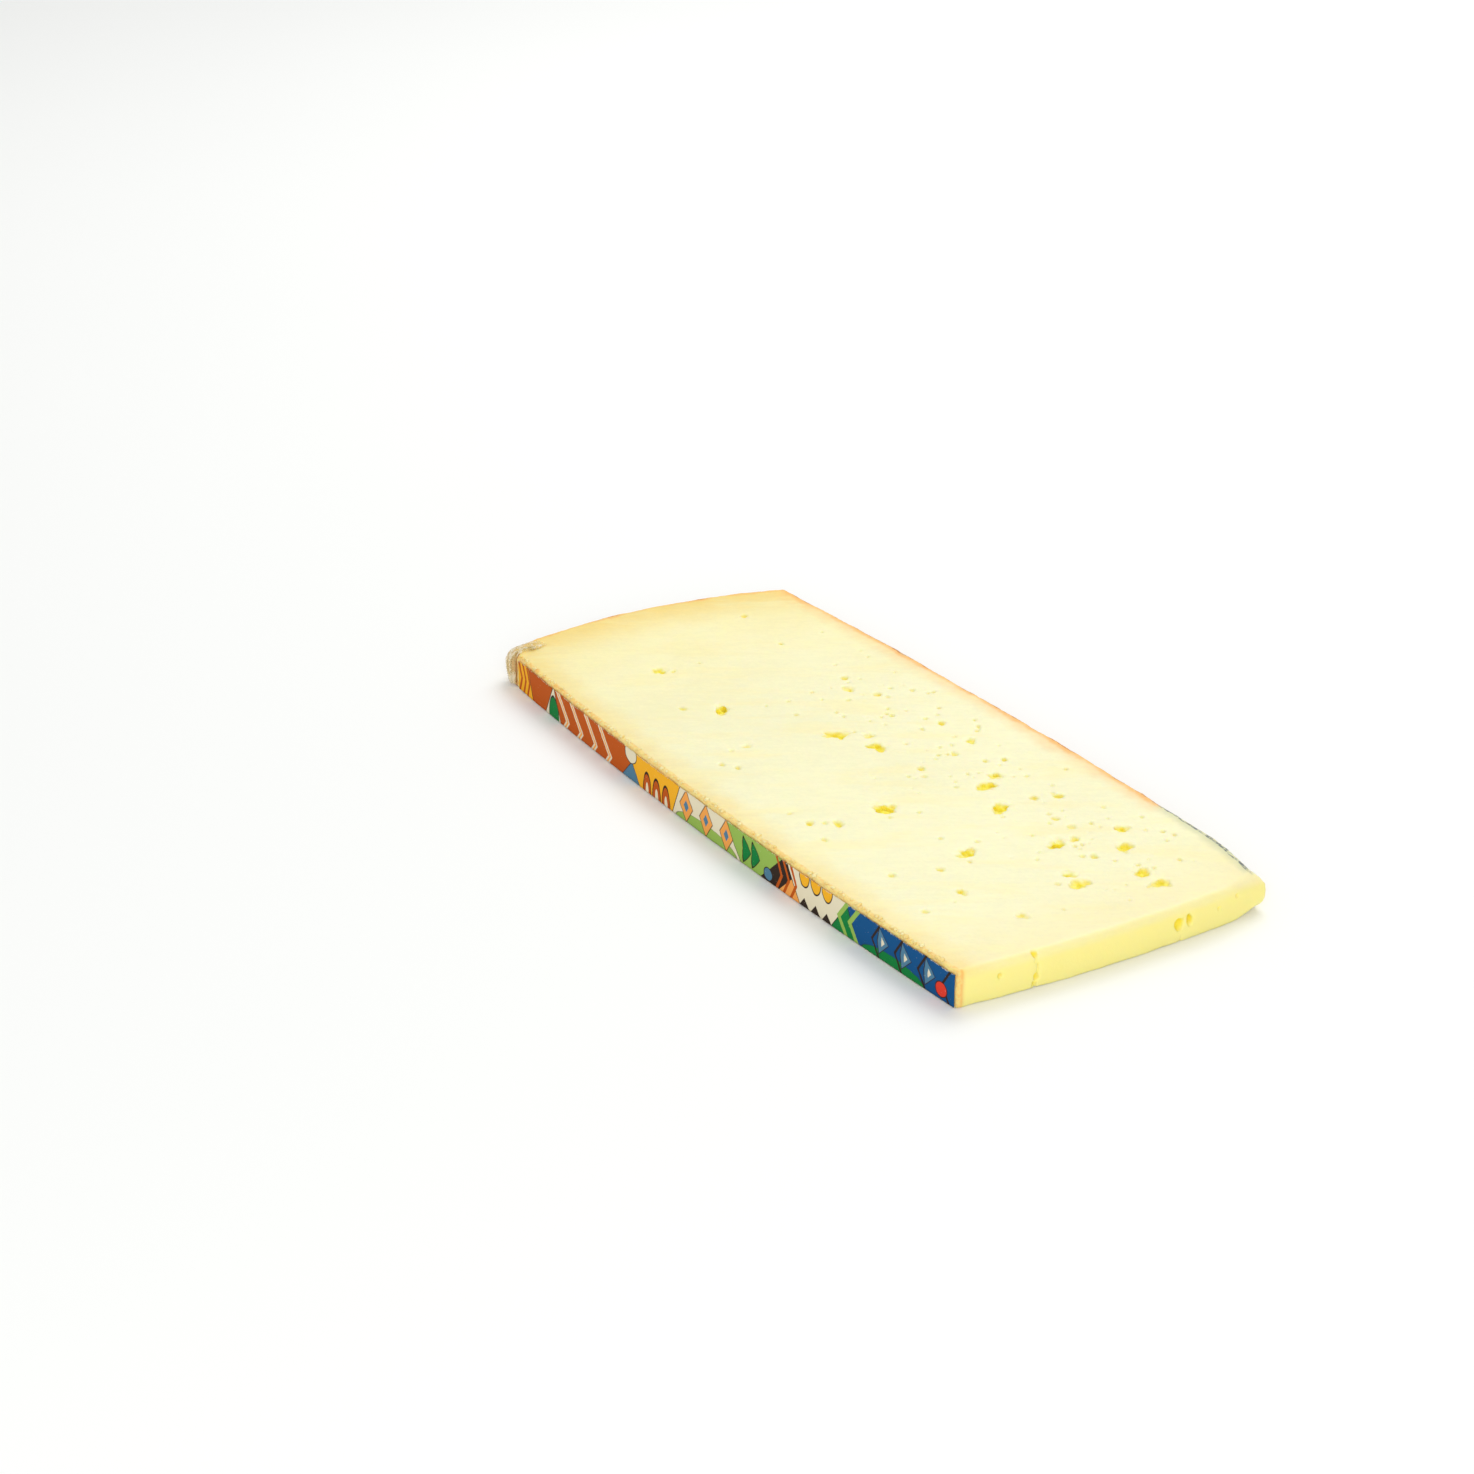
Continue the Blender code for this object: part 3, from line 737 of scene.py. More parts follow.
def cheese_mesh(look):
    """The slice with its eyes, crack, nicks and lumpy rim, as one fine skin."""
    arcs = list(side_arcs())
    arcs[LABEL] = (arcs[LABEL][0], arcs[LABEL][1] + RIND_UNDER_LABEL)
    body = slab(arcs)
    group = bpy.data.collections.new("cutters")
    bpy.context.scene.collection.children.link(group)
    eye_blobs(look, group)
    for low, high, y in CRACK_LENGTHS:
        wedge(y * MM, CRACK_WIDTH / 2, CRACK_DEPTH, low * MM, high * MM, group)
    for y in NICKS_Y:
        wedge(y, CRACK_WIDTH / 2, CRACK_DEPTH, -CUTTER_CLEARANCE, NICK_HEIGHT, group)
    cut = {"operation": "DIFFERENCE", "solver": "MANIFOLD"}
    apply_modifier(body, "BOOLEAN", operand_type="COLLECTION", collection=group, **cut)
    for cutter in list(group.objects):
        bpy.data.objects.remove(cutter)
    bpy.data.collections.remove(group)
    join_all(body, rim_lumps(look.rim_lumps))
    apply_modifier(body, "REMESH", mode="VOXEL", voxel_size=look.voxel, use_smooth_shade=True)
    places = points_of(body)
    depths = side_depths(places, arcs)
    depth = np.minimum.reduce([THICKNESS - places[:, 2], places[:, 2], *depths])
    corner = crossing(arcs[END], arcs[FAR], QUADRANTS[END])
    nose = corner_share(places, corner, NOSE_TOP_REACH)
    rim = depths[FAR] - FAR_RIM_SHARE * (NOSE_TOP_ROUND - EDGE_ROUND) * nose
    kept = {"depth": depth, "far_in": depths[FAR], "heel_in": depths[HEEL], "far_rim": rim}
    for name, distance in kept.items():
        set_amounts(body, name, distance / MM)
    worn_end = fall(depths[END], END_WEAR_DEPTH) * fall(places[:, 2], END_WEAR_HEIGHT)
    tip = corner_share(places, corner, TIP_REACH)
    set_points(body, round_edges(places, arcs))
    roughen(body, depths, np.maximum(nose, worn_end), tip)
    keep = MOST_TRIANGLES / sum(len(face.vertices) - 2 for face in body.data.polygons)
    apply_modifier(body, "DECIMATE", ratio=min(keep, 1.0))
    set_points(body, np.clip(points_of(body), np.array(CAD_BOX[0]), np.array(CAD_BOX[1])))
    return body


def roughen(body, depths, worn, tip):
    """Undulation of the cut faces, the uneven skin of the rind and the worn nose, by displacement."""
    far = np.minimum(depths[FAR], depths[HEEL])
    on_rind = fall(np.minimum(depths[LABEL], far), RIND_SKIN)
    masks = {"rind": on_rind, "far": fall(far, FAR_SKIN), "cut": 1 - on_rind, "worn": worn, "tip": tip}
    for name, weights in masks.items():
        group = body.vertex_groups.new(name=name)
        for level in range(1, WEIGHT_LEVELS + 1):
            chosen = np.nonzero(np.round(weights * WEIGHT_LEVELS) == level)[0]
            group.add(chosen.tolist(), level / WEIGHT_LEVELS, "REPLACE")
    apply_modifier(body, "SMOOTH", vertex_group="tip", factor=0.5, iterations=TIP_SMOOTHINGS)
    # Each kind of wave: where it is, its length, its height, and the level that stays in place
    for name, mask, scale, strength, middle in (
        ("rind_waves", "rind", 3.5 * MM, 0.30 * MM, 0.75),
        ("rind_grain", "rind", 0.9 * MM, 0.20 * MM, 0.75),
        ("far_swells", "far", 13 * MM, 0.55 * MM, 0.75),
        ("worn_waves", "worn", 3.6 * MM, 0.35 * MM, 0.7),
        ("cut_waves", "cut", 14 * MM, 0.16 * MM, 0.5),
        ("cut_grain", "cut", 2.2 * MM, 0.035 * MM, 0.5),
    ):
        texture = bpy.data.textures.new(name, "CLOUDS")
        texture.noise_scale = scale
        texture.noise_depth = 2
        apply_modifier(
            body,
            "DISPLACE",
            texture=texture,
            texture_coords="LOCAL",
            vertex_group=mask,
            strength=strength,
            mid_level=middle,
            direction="NORMAL",
        )
        bpy.data.textures.remove(texture)


def add_node(tree, kind, values=(), **settings):
    """Adds a node with its settings. The values go to its inputs in use, in order, as links or numbers."""
    made = tree.nodes.new("ShaderNode" + kind)
    for name, value in settings.items():
        setattr(made, name, value)
    for value, socket in zip(values, [socket for socket in made.inputs if socket.enabled]):
        if isinstance(value, bpy.types.Node):
            value = next(output for output in value.outputs if output.enabled)
        if isinstance(value, bpy.types.NodeSocket):
            tree.links.new(value, socket)
        elif socket.type == "RGBA":
            socket.default_value = (*value, 1.0)
        else:
            socket.default_value = value
    return made


def new_material(name, **values):
    """A material, its Principled shader with uniform values, and what adds nodes to it."""
    finish = bpy.data.materials.new(name)
    finish.use_nodes = True
    tree = finish.node_tree
    shader = tree.nodes["Principled BSDF"]
    for socket, value in values.items():
        shader.inputs[socket.replace("_", " ")].default_value = value
    return finish, shader, partial(add_node, tree)


def link_shader(shader, **sources):
    """Links nodes to the shader's sockets."""
    for socket, node in sources.items():
        output = next(output for output in node.outputs if output.enabled)
        shader.id_data.links.new(output, shader.inputs[socket.replace("_", " ")])


def lay_over(add, tone, over, *masks):
    """Lays a colour over a tone where all its masks meet."""
    share = masks[0]
    for mask in masks[1:]:
        share = add("Math", (share, mask), **TIMES)
    return add("Mix", (share, tone, over), data_type="RGBA")


def cheese_material(look):
    """Semi-hard cheese: butter-yellow paste cut by wire, under an amber washed rind.

    The paste is moist and lets light in, so it glows at edges; its eyes deepen to yellow, partly its own
    colour and partly painted shade. The rind is drier, mottled orange and brown, with a peach layer below
    it and grey-blue mould at the nose.
    """
    finish, shader, add = new_material(
        "washed_rind_cheese",
        Subsurface_Weight=0.6,
        Subsurface_Radius=(1.0, 0.82, 0.35),
        Subsurface_Scale=2.0 * MM,
        IOR=1.45,
        Specular_IOR_Level=0.45,
    )
    place = add("TexCoord").outputs["Object"]
    flat = add("VectorMath", (place, (1, 1, 0)), **TIMES)
    part = add("SeparateXYZ", (place,))
    x, z = part.outputs["X"], part.outputs["Z"]
    # Unevenness of several sizes: broad stains, the rind's patches, its ragged borders and its grain
    broad, wobble, ragged, fine = [
        add("TexNoise", (place, 1 / (span * MM), detail, roughness))
        for span, detail, roughness in ((26, 3.0, 0.5), (5, 4.0, 0.6), (2.2, 4.0, 0.65), (0.8, 3.0, 0.6))
    ]
    # How far inside each side a point lies, in mm: the two rind sides' are kept from before they swelled
    insides = []
    for centre, radius in side_arcs()[:FAR]:
        away = add("VectorMath", (flat, (*centre, 0)), operation="DISTANCE")
        insides.append(add("Math", (away, -1 / MM, radius / MM), **SHIFT))
    label_in, end_in = insides
    far_in, heel_in, rim_in, depth = [
        add("Attribute", attribute_name=name).outputs["Fac"]
        for name in ("far_in", "heel_in", "far_rim", "depth")
    ]
    # Where the nose's mould begins, and the skin before it
    ragged_x = add("Math", (wobble, 12 * MM, x), **SHIFT)
    mouldy = add("MapRange", (ragged_x, 56 * MM, 63 * MM), **SMOOTH)
    clean = add("Math", (1.0, mouldy), operation="SUBTRACT")

    # Paste: warmer towards the heel, golden beside the rind
    uneven = add("Math", (broad, 50.0, heel_in), **SHIFT)
    share = add("MapRange", (uneven, 88.0, 24.0), **SMOOTH)
    tone = lay_over(add, look.paste, look.paste_heel, share)
    for inside, reach, most, warm, masks in (
        (end_in, 22.0, 0.22, look.paste_edge, ()),
        (heel_in, 16.0, 0.85, look.paste_edge, ()),
        (label_in, 8.0, 0.55, look.paste_edge, ()),
        (far_in, 6.0, 0.48, look.under_rind, (clean,)),
    ):
        uneven = add("Math", (wobble, 5.0, inside), **SHIFT)
        share = add("MapRange", (uneven, reach + 2.5, 2.5, 0.0, most), **SMOOTH)
        tone = lay_over(add, tone, warm, share, *masks)

    # Faint yellower stains and drag marks, drawn out across the slice as the wire went
    wire_way = (0, 0, math.atan2(RIGHT_WAY.y, RIGHT_WAY.x))
    drawn_out = add("Mapping", (place, (0, 0, 0), wire_way, (4, 1, 1)), vector_type="TEXTURE")
    stains = add("TexNoise", (drawn_out, 1 / (6 * MM), 3.0, 0.55))
    stains = add("MapRange", (stains, 0.47, 0.68, 0.0, 0.55), **SMOOTH)
    tone = lay_over(add, tone, look.paste_heel, stains)
    mottle = add("Math", (broad, fine), operation="ADD")
    mottle = add("MapRange", (mottle, 0.75, 1.25, 0.98, 1.02), **SMOOTH)
    streaks = add("TexNoise", (drawn_out, 1 / (1.2 * MM), 3.0, 0.6))
    streaks = add("MapRange", (streaks, 0.35, 0.65, 0.985, 1.01), **SMOOTH)
    mottle = add("Math", (mottle, streaks), **TIMES)
    tone = add("VectorMath", (tone, mottle), operation="SCALE")

    # The older cut end is yellower, partly as its drier paste and partly as painted shade of the upright
    # face; the yellow fades out towards the top edge as a painted highlight on its rounding
    share = add("MapRange", (end_in, 1.6, 0.1), **SMOOTH)
    lower = add("MapRange", (z, 7.4 * MM, 5.2 * MM, 0.35, 1.0), **SMOOTH)
    tone = lay_over(add, tone, look.old_cut_and_shade, share, lower)

    # Eyes, crack and pits deepen to yellow with depth: partly the paste's own deeper colour, partly painted
    # shade in the hollows
    share = add("MapRange", (depth, 0.04, 0.9), **SMOOTH)
    tone = lay_over(add, tone, look.eye, share)

    # The rind in section where the cut end meets the labelled side
    uneven = add("Math", (wobble, 0.8, label_in), **SHIFT)
    share = add("MapRange", (uneven, 2.2, 1.1), **SMOOTH)
    at_end = add("MapRange", (end_in, 0.9, 0.4), **SMOOTH)
    outermost = add("MapRange", (uneven, 1.7, 0.8), **SMOOTH)
    section = lay_over(add, look.rim_crust, look.rind_core, outermost)
    tone = lay_over(add, tone, section, share, at_end)

    # Rind skin: amber with pale worn places and brown stains, dried towards the tip
    smeared = add("Mapping", (place, (0, 0, 0), (0, 0, 0), (0.4, 0.4, 1.0)))
    worn_skin = add("TexNoise", (smeared, 1 / (1.3 * MM), 4.0, 0.6))
    skin = look.rind
    for patches, start, full, most, over in (
        (worn_skin, 0.52, 0.36, 0.5, look.rind_pale),
        (worn_skin, 0.56, 0.78, 0.6, look.rind_dark),
        (wobble, 0.5, 0.72, 0.6, look.rind_dark),
        (x, 72 * MM, 80 * MM, 0.85, look.rim_crust),
    ):
        share = add("MapRange", (patches, start, full, 0.0, most), **SMOOTH)
        skin = lay_over(add, skin, over, share)
    lengthwise = add("TexNoise", (flat, 1 / (9 * MM), 3.0, 0.6))
    uneven = add("Math", (lengthwise, 3.4, -2.7), **SHIFT)
    uneven = add("Math", (ragged, 1.2, uneven), **SHIFT)
    for inside, peach_reach, most, masks in ((far_in, 1.8, 0.85, (clean,)), (heel_in, 1.6, 0.7, ())):
        shifted = add("Math", (inside, uneven), operation="ADD")
        share = add("MapRange", (shifted, peach_reach, 0.3, 0.0, most), **SMOOTH)
        tone = lay_over(add, tone, look.under_rind, share, *masks)
        for distance, start, full in ((shifted, 0.3, -0.1), (inside, 0.22, 0.08)):
            share = add("MapRange", (distance, start, full), **SMOOTH)
            tone = lay_over(add, tone, skin, share)

    # The crumbly rim above the paper: cream beads with peach hollows, more orange towards the heel
    uneven = add("Math", (ragged, 1.2, label_in), **SHIFT)
    share = add("MapRange", (uneven, 1.7, 1.1, 0.0, 0.9), **SMOOTH)
    heelwards = add("MapRange", (x, -15 * MM, -70 * MM, 0.5, 0.9), **SMOOTH)
    hollow = add("MapRange", (fine, 0.58, 0.42), **SMOOTH)
    crust = lay_over(add, look.rim_crust, look.under_rind, hollow, heelwards)
    tone = lay_over(add, tone, crust, share)

    # A brown line between the film and the paper, painted shade of the gap between them, and amber skin
    # under the film
    under_film = add("MapRange", (x, -79.2 * MM, -80.0 * MM), **SMOOTH)
    near_side = add("MapRange", (label_in, 1.2, 0.5), **SMOOTH)
    tone = lay_over(add, tone, skin, under_film, near_side)
    film_edge_shade = add("Math", (x, -79.4 * MM, 0.7 * MM), operation="COMPARE")
    tone = lay_over(add, tone, look.rind_dark, film_edge_shade, near_side, 0.75)

    # Mould at the nose: a greyish tint, a white bloom at the edge and a broken line of grey-blue flecks
    ragged_z = add("Math", (wobble, 8 * MM, z), **SHIFT)
    upper = add("MapRange", (ragged_z, 7.6 * MM, 10.2 * MM), **SMOOTH)
    before_tip = add("MapRange", (x, 83.6 * MM, 81 * MM), **SMOOTH)
    zone = (mouldy, upper, before_tip)
    uneven = add("Math", (wobble, 2.5, rim_in), **SHIFT)
    share = add("MapRange", (uneven, 5.0, 1.6, 0.0, 0.9), **SMOOTH)
    tone = lay_over(add, tone, look.mould_tint, share, *zone)
    share = add("MapRange", (rim_in, 0.5, 0.25, 0.0, 0.95), **SMOOTH)
    patches = add("MapRange", (ragged, 0.6, 0.42, 0.15, 0.9), **SMOOTH)
    tone = lay_over(add, tone, look.mould_bloom, share, patches, *zone)
    along_edge = add("Mapping", (place, (0, 0, 0), (0, 0, 0), (0.45, 1.0, 1.0)))
    spots = add("TexNoise", (along_edge, 1 / (0.6 * MM), 3.0, 0.65))
    spots = add("MapRange", (spots, 0.42, 0.56), **SMOOTH)
    wander = add("Math", (wobble, 0.8, -1.15), **SHIFT)
    off_line = add("Math", (rim_in, wander), operation="ADD")
    off_line = add("Math", (off_line,), operation="ABSOLUTE")
    half_width = add("MapRange", (x, 62 * MM, 78 * MM, 0.32, 0.5), **SMOOTH)
    off_line = add("Math", (off_line, half_width), operation="DIVIDE")
    on_line = add("MapRange", (off_line, 1.25, 0.75), **SMOOTH)
    tone = lay_over(add, tone, look.mould, on_line, spots, *zone)

    rough = add("Math", (fine, 0.25, 0.36), **SHIFT)
    relief = add("Math", (fine, wobble), operation="ADD")
    bump = add("Bump", (0.25, 0.15 * MM, BUMP_FILTER, relief))
    link_shader(shader, Base_Color=tone, Roughness=rough, Normal=bump)
    return finish


def face_outward(thing):
    """Turns all faces outward and shades them smooth."""
    edit_whole(thing, bpy.ops.mesh.normals_make_consistent, inside=False)
    bpy.ops.object.shade_smooth()


def label_mesh():
    """The paper strip, laid on the labelled side's arc, with an uneven upper edge."""
    strip = new_primitive(
        "label_strip", bpy.ops.mesh.primitive_grid_add, x_subdivisions=420, y_subdivisions=16, size=1
    )
    places = points_of(strip)
    centre, radius = side_arcs()[LABEL]
    along = LABEL_LOW.x + (places[:, 0] + 0.5) * (LABEL_HIGH.x - LABEL_LOW.x)
    base = LABEL_LOW.z + PAPER_BASE_MARGIN
    for index, x in enumerate(along):
        fray = PAPER_FRAY[0] * noise.noise(Vector((x / (PAPER_FRAY[1] * MM), 0, 3))) * MM
        sway = PAPER_SWAY[0] * noise.noise(Vector((x / (PAPER_SWAY[1] * MM), 0, 8))) * MM
        top = LABEL_HIGH.z - PAPER_TOP_MARGIN + fray + sway
        z = base + (places[index, 1] + 0.5) * (top - base)
        ripples = Vector((x / (PAPER_RIPPLE[1] * MM), z / (PAPER_RIPPLE[2] * MM), 0))
        ripple = PAPER_RIPPLE[0] * noise.noise(ripples) * MM
        angle = math.asin((x - centre.x) / radius)
        reach = radius + PAPER_STAND + ripple
        places[index] = (centre.x + reach * math.sin(angle), centre.y - reach * math.cos(angle), z)
    set_points(strip, places)
    apply_modifier(strip, "SOLIDIFY", thickness=PAPER_THICKNESS, offset=0.0)
    face_outward(strip)
    return strip


# Fields of the print: where each starts along the strip in mm, its border's slant, and its ink
FIELDS = (
    (0, 0.0, "yellow"),
    (7, 0.3, "rust"),
    (13, -0.5, "cream"),
    (20, 0.4, "rust"),
    (47, -0.9, "slate"),
    (54, 0.7, "yellow"),
    (67, -0.4, "cream"),
    (92, 0.8, "lime"),
    (99, -1.0, "brown"),
    (105, -1.0, "peach"),
    (112, 0.6, "cream"),
    (122, -0.7, "green"),
    (130, 0.5, "navy"),
)
# Motifs in a row: start of the row in mm, how many, pitch, half width, half height and middle in mm,
# power, chevron, ink. Power 1 draws lozenges, 2 ovals and 6 bars; a chevron bends them to arrowheads.
MOTIFS = (
    (0.7, 3, 1.9, 0.4, 9.0, 3.4, 6, 0.35, "rust"),
    (14.6, 1, 4.6, 2.1, 4.6, 0.4, 2, 0.0, "green"),
    (20.2, 4, 6.2, 0.85, 9.0, 1.6, 6, 0.8, "cream"),
    (20.2, 4, 6.2, 0.3, 9.0, 1.6, 6, 0.8, "peach"),
    (46.5, 1, 8.0, 2.2, 2.2, 6.2, 2, 0.0, "cream"),
    (55.2, 3, 3.7, 1.45, 4.2, 0.0, 2, 0.0, "rust"),
    (55.2, 3, 3.7, 0.6, 2.3, 0.0, 2, 0.0, "cream"),
    (68, 1, 23.0, 11.0, 2.6, 0.0, 2, 0.0, "lime"),
    (68.6, 3, 7.3, 2.3, 3.5, 3.6, 1, 0.0, "peach"),
    (68.6, 3, 7.3, 0.9, 1.4, 3.6, 1, 0.0, "slate"),
    (92.6, 2, 3.1, 1.25, 2.6, 3.4, 1.3, 0.4, "green"),
    (99.4, 1, 4.0, 1.3, 1.3, 1.6, 2, 0.0, "slate"),
    (104.8, 3, 2.4, 0.4, 9.0, 3.4, 6, 0.5, "rust"),
    (111.6, 3, 3.6, 1.5, 2.4, 7.0, 2, 0.0, "yellow"),
    (111.6, 3, 3.6, 1.3, 1.7, 0.0, 1, 0.0, "brown"),
    (122.6, 2, 3.3, 0.6, 9.0, 3.4, 6, -0.7, "lime"),
    (131, 1, 19.0, 9.0, 2.2, 0.0, 2, 0.0, "green"),
    (131, 4, 6.7, 0.3, 9.0, 3.4, 6, -0.6, "brown"),
    (134.2, 3, 6.7, 1.5, 2.7, 3.8, 1, 0.4, "slate"),
    (134.2, 3, 6.7, 0.5, 1.0, 3.8, 1, 0.4, "cream"),
    (152, 1, 4.6, 1.5, 1.5, 2.2, 2, 0.0, "red"),
)
# Motifs at least this half width have a dark outline, this wide, in mm
OUTLINED = 1.2
OUTLINE = 0.22
# How soft the border between two inks is, in mm
BORDER_BLUR = 0.07


def label_material(look):
    """Printed label paper: flat inks on cream stock, rubbed in places, with bare fibres at the cuts."""
    finish, shader, add = new_material(
        "printed_label_paper", Roughness=0.72, IOR=1.5, Specular_IOR_Level=0.15
    )
    part = add("SeparateXYZ", (add("UVMap", uv_map="UVMap"),))
    length = (LABEL_HIGH.x - LABEL_LOW.x) / MM
    height = (LABEL_HIGH.z - LABEL_LOW.z) / MM
    place = add("TexCoord").outputs["Object"]
    wobble = add("TexNoise", (place, 1 / (1.3 * MM), 2.0))
    shake = add("Math", (wobble, 0.3, -0.15), **SHIFT)
    along = add("Math", (part.outputs["X"], length, shake), **SHIFT)
    up = add("Math", (part.outputs["Y"], height, shake), **SHIFT)

    ink = getattr(look, FIELDS[0][2])
    for start, slant, name in FIELDS[1:]:
        lean = add("Math", (up, slant, along), **SHIFT)
        begun = add("MapRange", (lean, start - BORDER_BLUR, start + BORDER_BLUR), **SMOOTH)
        ink = lay_over(add, ink, getattr(look, name), begun)
        border = add("Math", (lean, start, OUTLINE / 2), operation="COMPARE")
        ink = lay_over(add, ink, look.brown, border)

    for start, count, pitch, half_width, half_height, middle, power, chevron, name in MOTIFS:
        off = add("Math", (up, middle), operation="SUBTRACT")
        off = add("Math", (off,), operation="ABSOLUTE")
        bent = add("Math", (off, chevron, along), **SHIFT)
        row = count * pitch / 2
        window = add("Math", (bent, start + row, row), operation="COMPARE")
        aside = add("Math", (bent, start - pitch / 2), operation="SUBTRACT")
        aside = add("Math", (aside, pitch / 2), operation="PINGPONG")
        aside = add("Math", (aside, half_width), operation="DIVIDE")
        aside = add("Math", (aside, power), operation="POWER")
        off = add("Math", (off, half_height), operation="DIVIDE")
        off = add("Math", (off, power), operation="POWER")
        out = add("Math", (aside, off), operation="ADD")
        rings = [(1.0, getattr(look, name))]
        if half_width >= OUTLINED:
            rings.insert(0, ((1 + OUTLINE / half_width) ** power, look.brown))
        for edge, fill in rings:
            shown = add("MapRange", (out, edge * 1.05, edge * 0.95), **SMOOTH)
            ink = lay_over(add, ink, fill, shown, window)

    # Specks where the ink is rubbed off, and bare paper at the frayed upper edge
    grain = add("TexNoise", (place, 1 / (0.45 * MM), 4.0, 0.7))
    rubbed = add("MapRange", (grain, 0.66, 0.72, 0.0, 0.5), **SMOOTH)
    ink = lay_over(add, ink, look.fibre, rubbed)
    frayed = add("Math", (grain, 1.4, up), **SHIFT)
    bare = add("MapRange", (frayed, height + 0.6, height + 0.9, 0.0, 0.8), **SMOOTH)
    ink = lay_over(add, ink, look.fibre, bare)

    bump = add("Bump", (0.3, 0.04 * MM, BUMP_FILTER, grain))
    link_shader(shader, Base_Color=ink, Normal=bump)
    return finish


def corner_path():
    """Stations (point, outward normal) round the heel corner: from the heel side onto the labelled side."""
    arcs = side_arcs()
    radius = CORNER_RADII[HEEL]
    centre = crossing(arcs[HEEL], arcs[LABEL], QUADRANTS[HEEL], inset=radius)
    heel_way = (centre - arcs[HEEL][0]).normalized()
    label_way = (centre - arcs[LABEL][0]).normalized()
    heel_angle = math.atan2(heel_way.y, heel_way.x) % (2 * math.pi)
    label_angle = math.atan2(label_way.y, label_way.x) % (2 * math.pi)
    runs = (
        (*arcs[HEEL], heel_angle - FILM_ON_HEEL / HEEL_RADIUS, heel_angle),
        (centre, radius, heel_angle, label_angle),
        (*arcs[LABEL], label_angle, label_angle + FILM_ON_LABEL / LABEL_SIDE_RADIUS),
    )
    stations = []
    for middle, reach, start, end in runs:
        for step in range(FILM_STEPS + (middle == runs[-1][0])):
            angle = start + (end - start) * step / FILM_STEPS
            way = Vector((math.cos(angle), math.sin(angle)))
            stations.append((middle + way * reach, way))
    return stations


def film_section(climbed, low, bend):
    """How far out, how high, and the outward slope, for a length climbed up the wall and over its edge."""
    wall = THICKNESS - bend - low
    quarter = math.pi / 2 * bend
    if climbed < wall:
        return 0.0, low + climbed, 0.0
    if climbed < wall + quarter:
        angle = (climbed - wall) / bend
        return bend * (math.cos(angle) - 1), THICKNESS - bend * (1 - math.sin(angle)), angle
    return -bend - (climbed - wall - quarter), THICKNESS, math.pi / 2


def wrap_mesh(look):
    """The scrap of film: a sheet folded over the rounded heel corner, bulging and pleated upright."""
    sheet = new_primitive(
        "clear_film", bpy.ops.mesh.primitive_grid_add, x_subdivisions=150, y_subdivisions=120, size=1
    )
    path = corner_path()
    places = points_of(sheet)
    low = WRAP_LOW.z + FILM_BASE_MARGIN
    bend = HEEL_TOP_ROUND
    run = THICKNESS - bend - low + math.pi / 2 * bend + look.flap
    for index, (across, upward, _) in enumerate(places):
        station = (across + 0.5) * (len(path) - 1)
        first = min(int(station), len(path) - 2)
        share = station - first
        point = path[first][0].lerp(path[first + 1][0], share)
        way = path[first][1].lerp(path[first + 1][1], share).normalized()
        fringe = 0.5 * noise.noise(Vector((station * 0.12, 4, 2))) * look.flap * (upward + 0.5) ** 4
        climbed = (upward + 0.5) * run + fringe
        out, z, slope = film_section(climbed, low, bend)
        swell = math.sin(math.pi * (across + 0.5))
        lean = station + climbed / MM * 0.5
        pleat = 1 - abs(noise.noise(Vector((lean * 0.17, climbed / (14 * MM), 7)))) * 2
        crumple = noise.noise(Vector((station * 0.1, climbed / (3.2 * MM), 1)))
        belly = math.sin(math.pi * min(1.0, climbed / THICKNESS))
        swell *= FILM_PUFF + FILM_BELLY * belly + FILM_PLEAT * pleat ** 3 + FILM_CRUMPLE * crumple
        stand = max(FILM_LEAST_STAND, FILM_STAND + swell * MM)
        out += stand * math.cos(slope)
        most = WRAP_HIGH.z - THICKNESS - look.thickness
        z += min(stand, most) * math.sin(slope) * (0.5 + 0.5 * pleat)
        spot = point + way * out
        places[index] = (spot.x, spot.y, z)
    low_corner, high_corner = (np.array(corner) for corner in CAD_BOX)
    set_points(sheet, np.clip(places, low_corner + FILM_BOX_MARGIN, high_corner - FILM_BOX_MARGIN))
    apply_modifier(sheet, "SMOOTH", factor=0.5, iterations=1)
    apply_modifier(sheet, "SOLIDIFY", thickness=look.thickness, offset=0.0)
    face_outward(sheet)
    return sheet


def film_material(look):
    """Clear packing film: thin, glossy, with a beige tint and whitish light in its upright creases."""
    finish, shader, add = new_material("clear_packing_film", Roughness=0.22, IOR=1.45)
    place = add("TexCoord").outputs["Object"]
    upright = add("Mapping", (place, (0, 0, 0), (0, 0, 0), (1.0, 1.0, 0.22)))
    lines = add("TexNoise", (upright, 1 / (1.2 * MM), 2.0, 0.5))
    crease = add("MapRange", (lines, 0.48, 0.62), **SMOOTH)
    tone = lay_over(add, look.clear, look.crease, crease)
    haze = add("MapRange", (crease, 0.0, 1.0, 0.25, 0.62))
    bump = add("Bump", (0.3, 0.12 * MM, BUMP_FILTER, lines))
    link_shader(shader, Base_Color=tone, Alpha=haze, Normal=bump)
    return finish


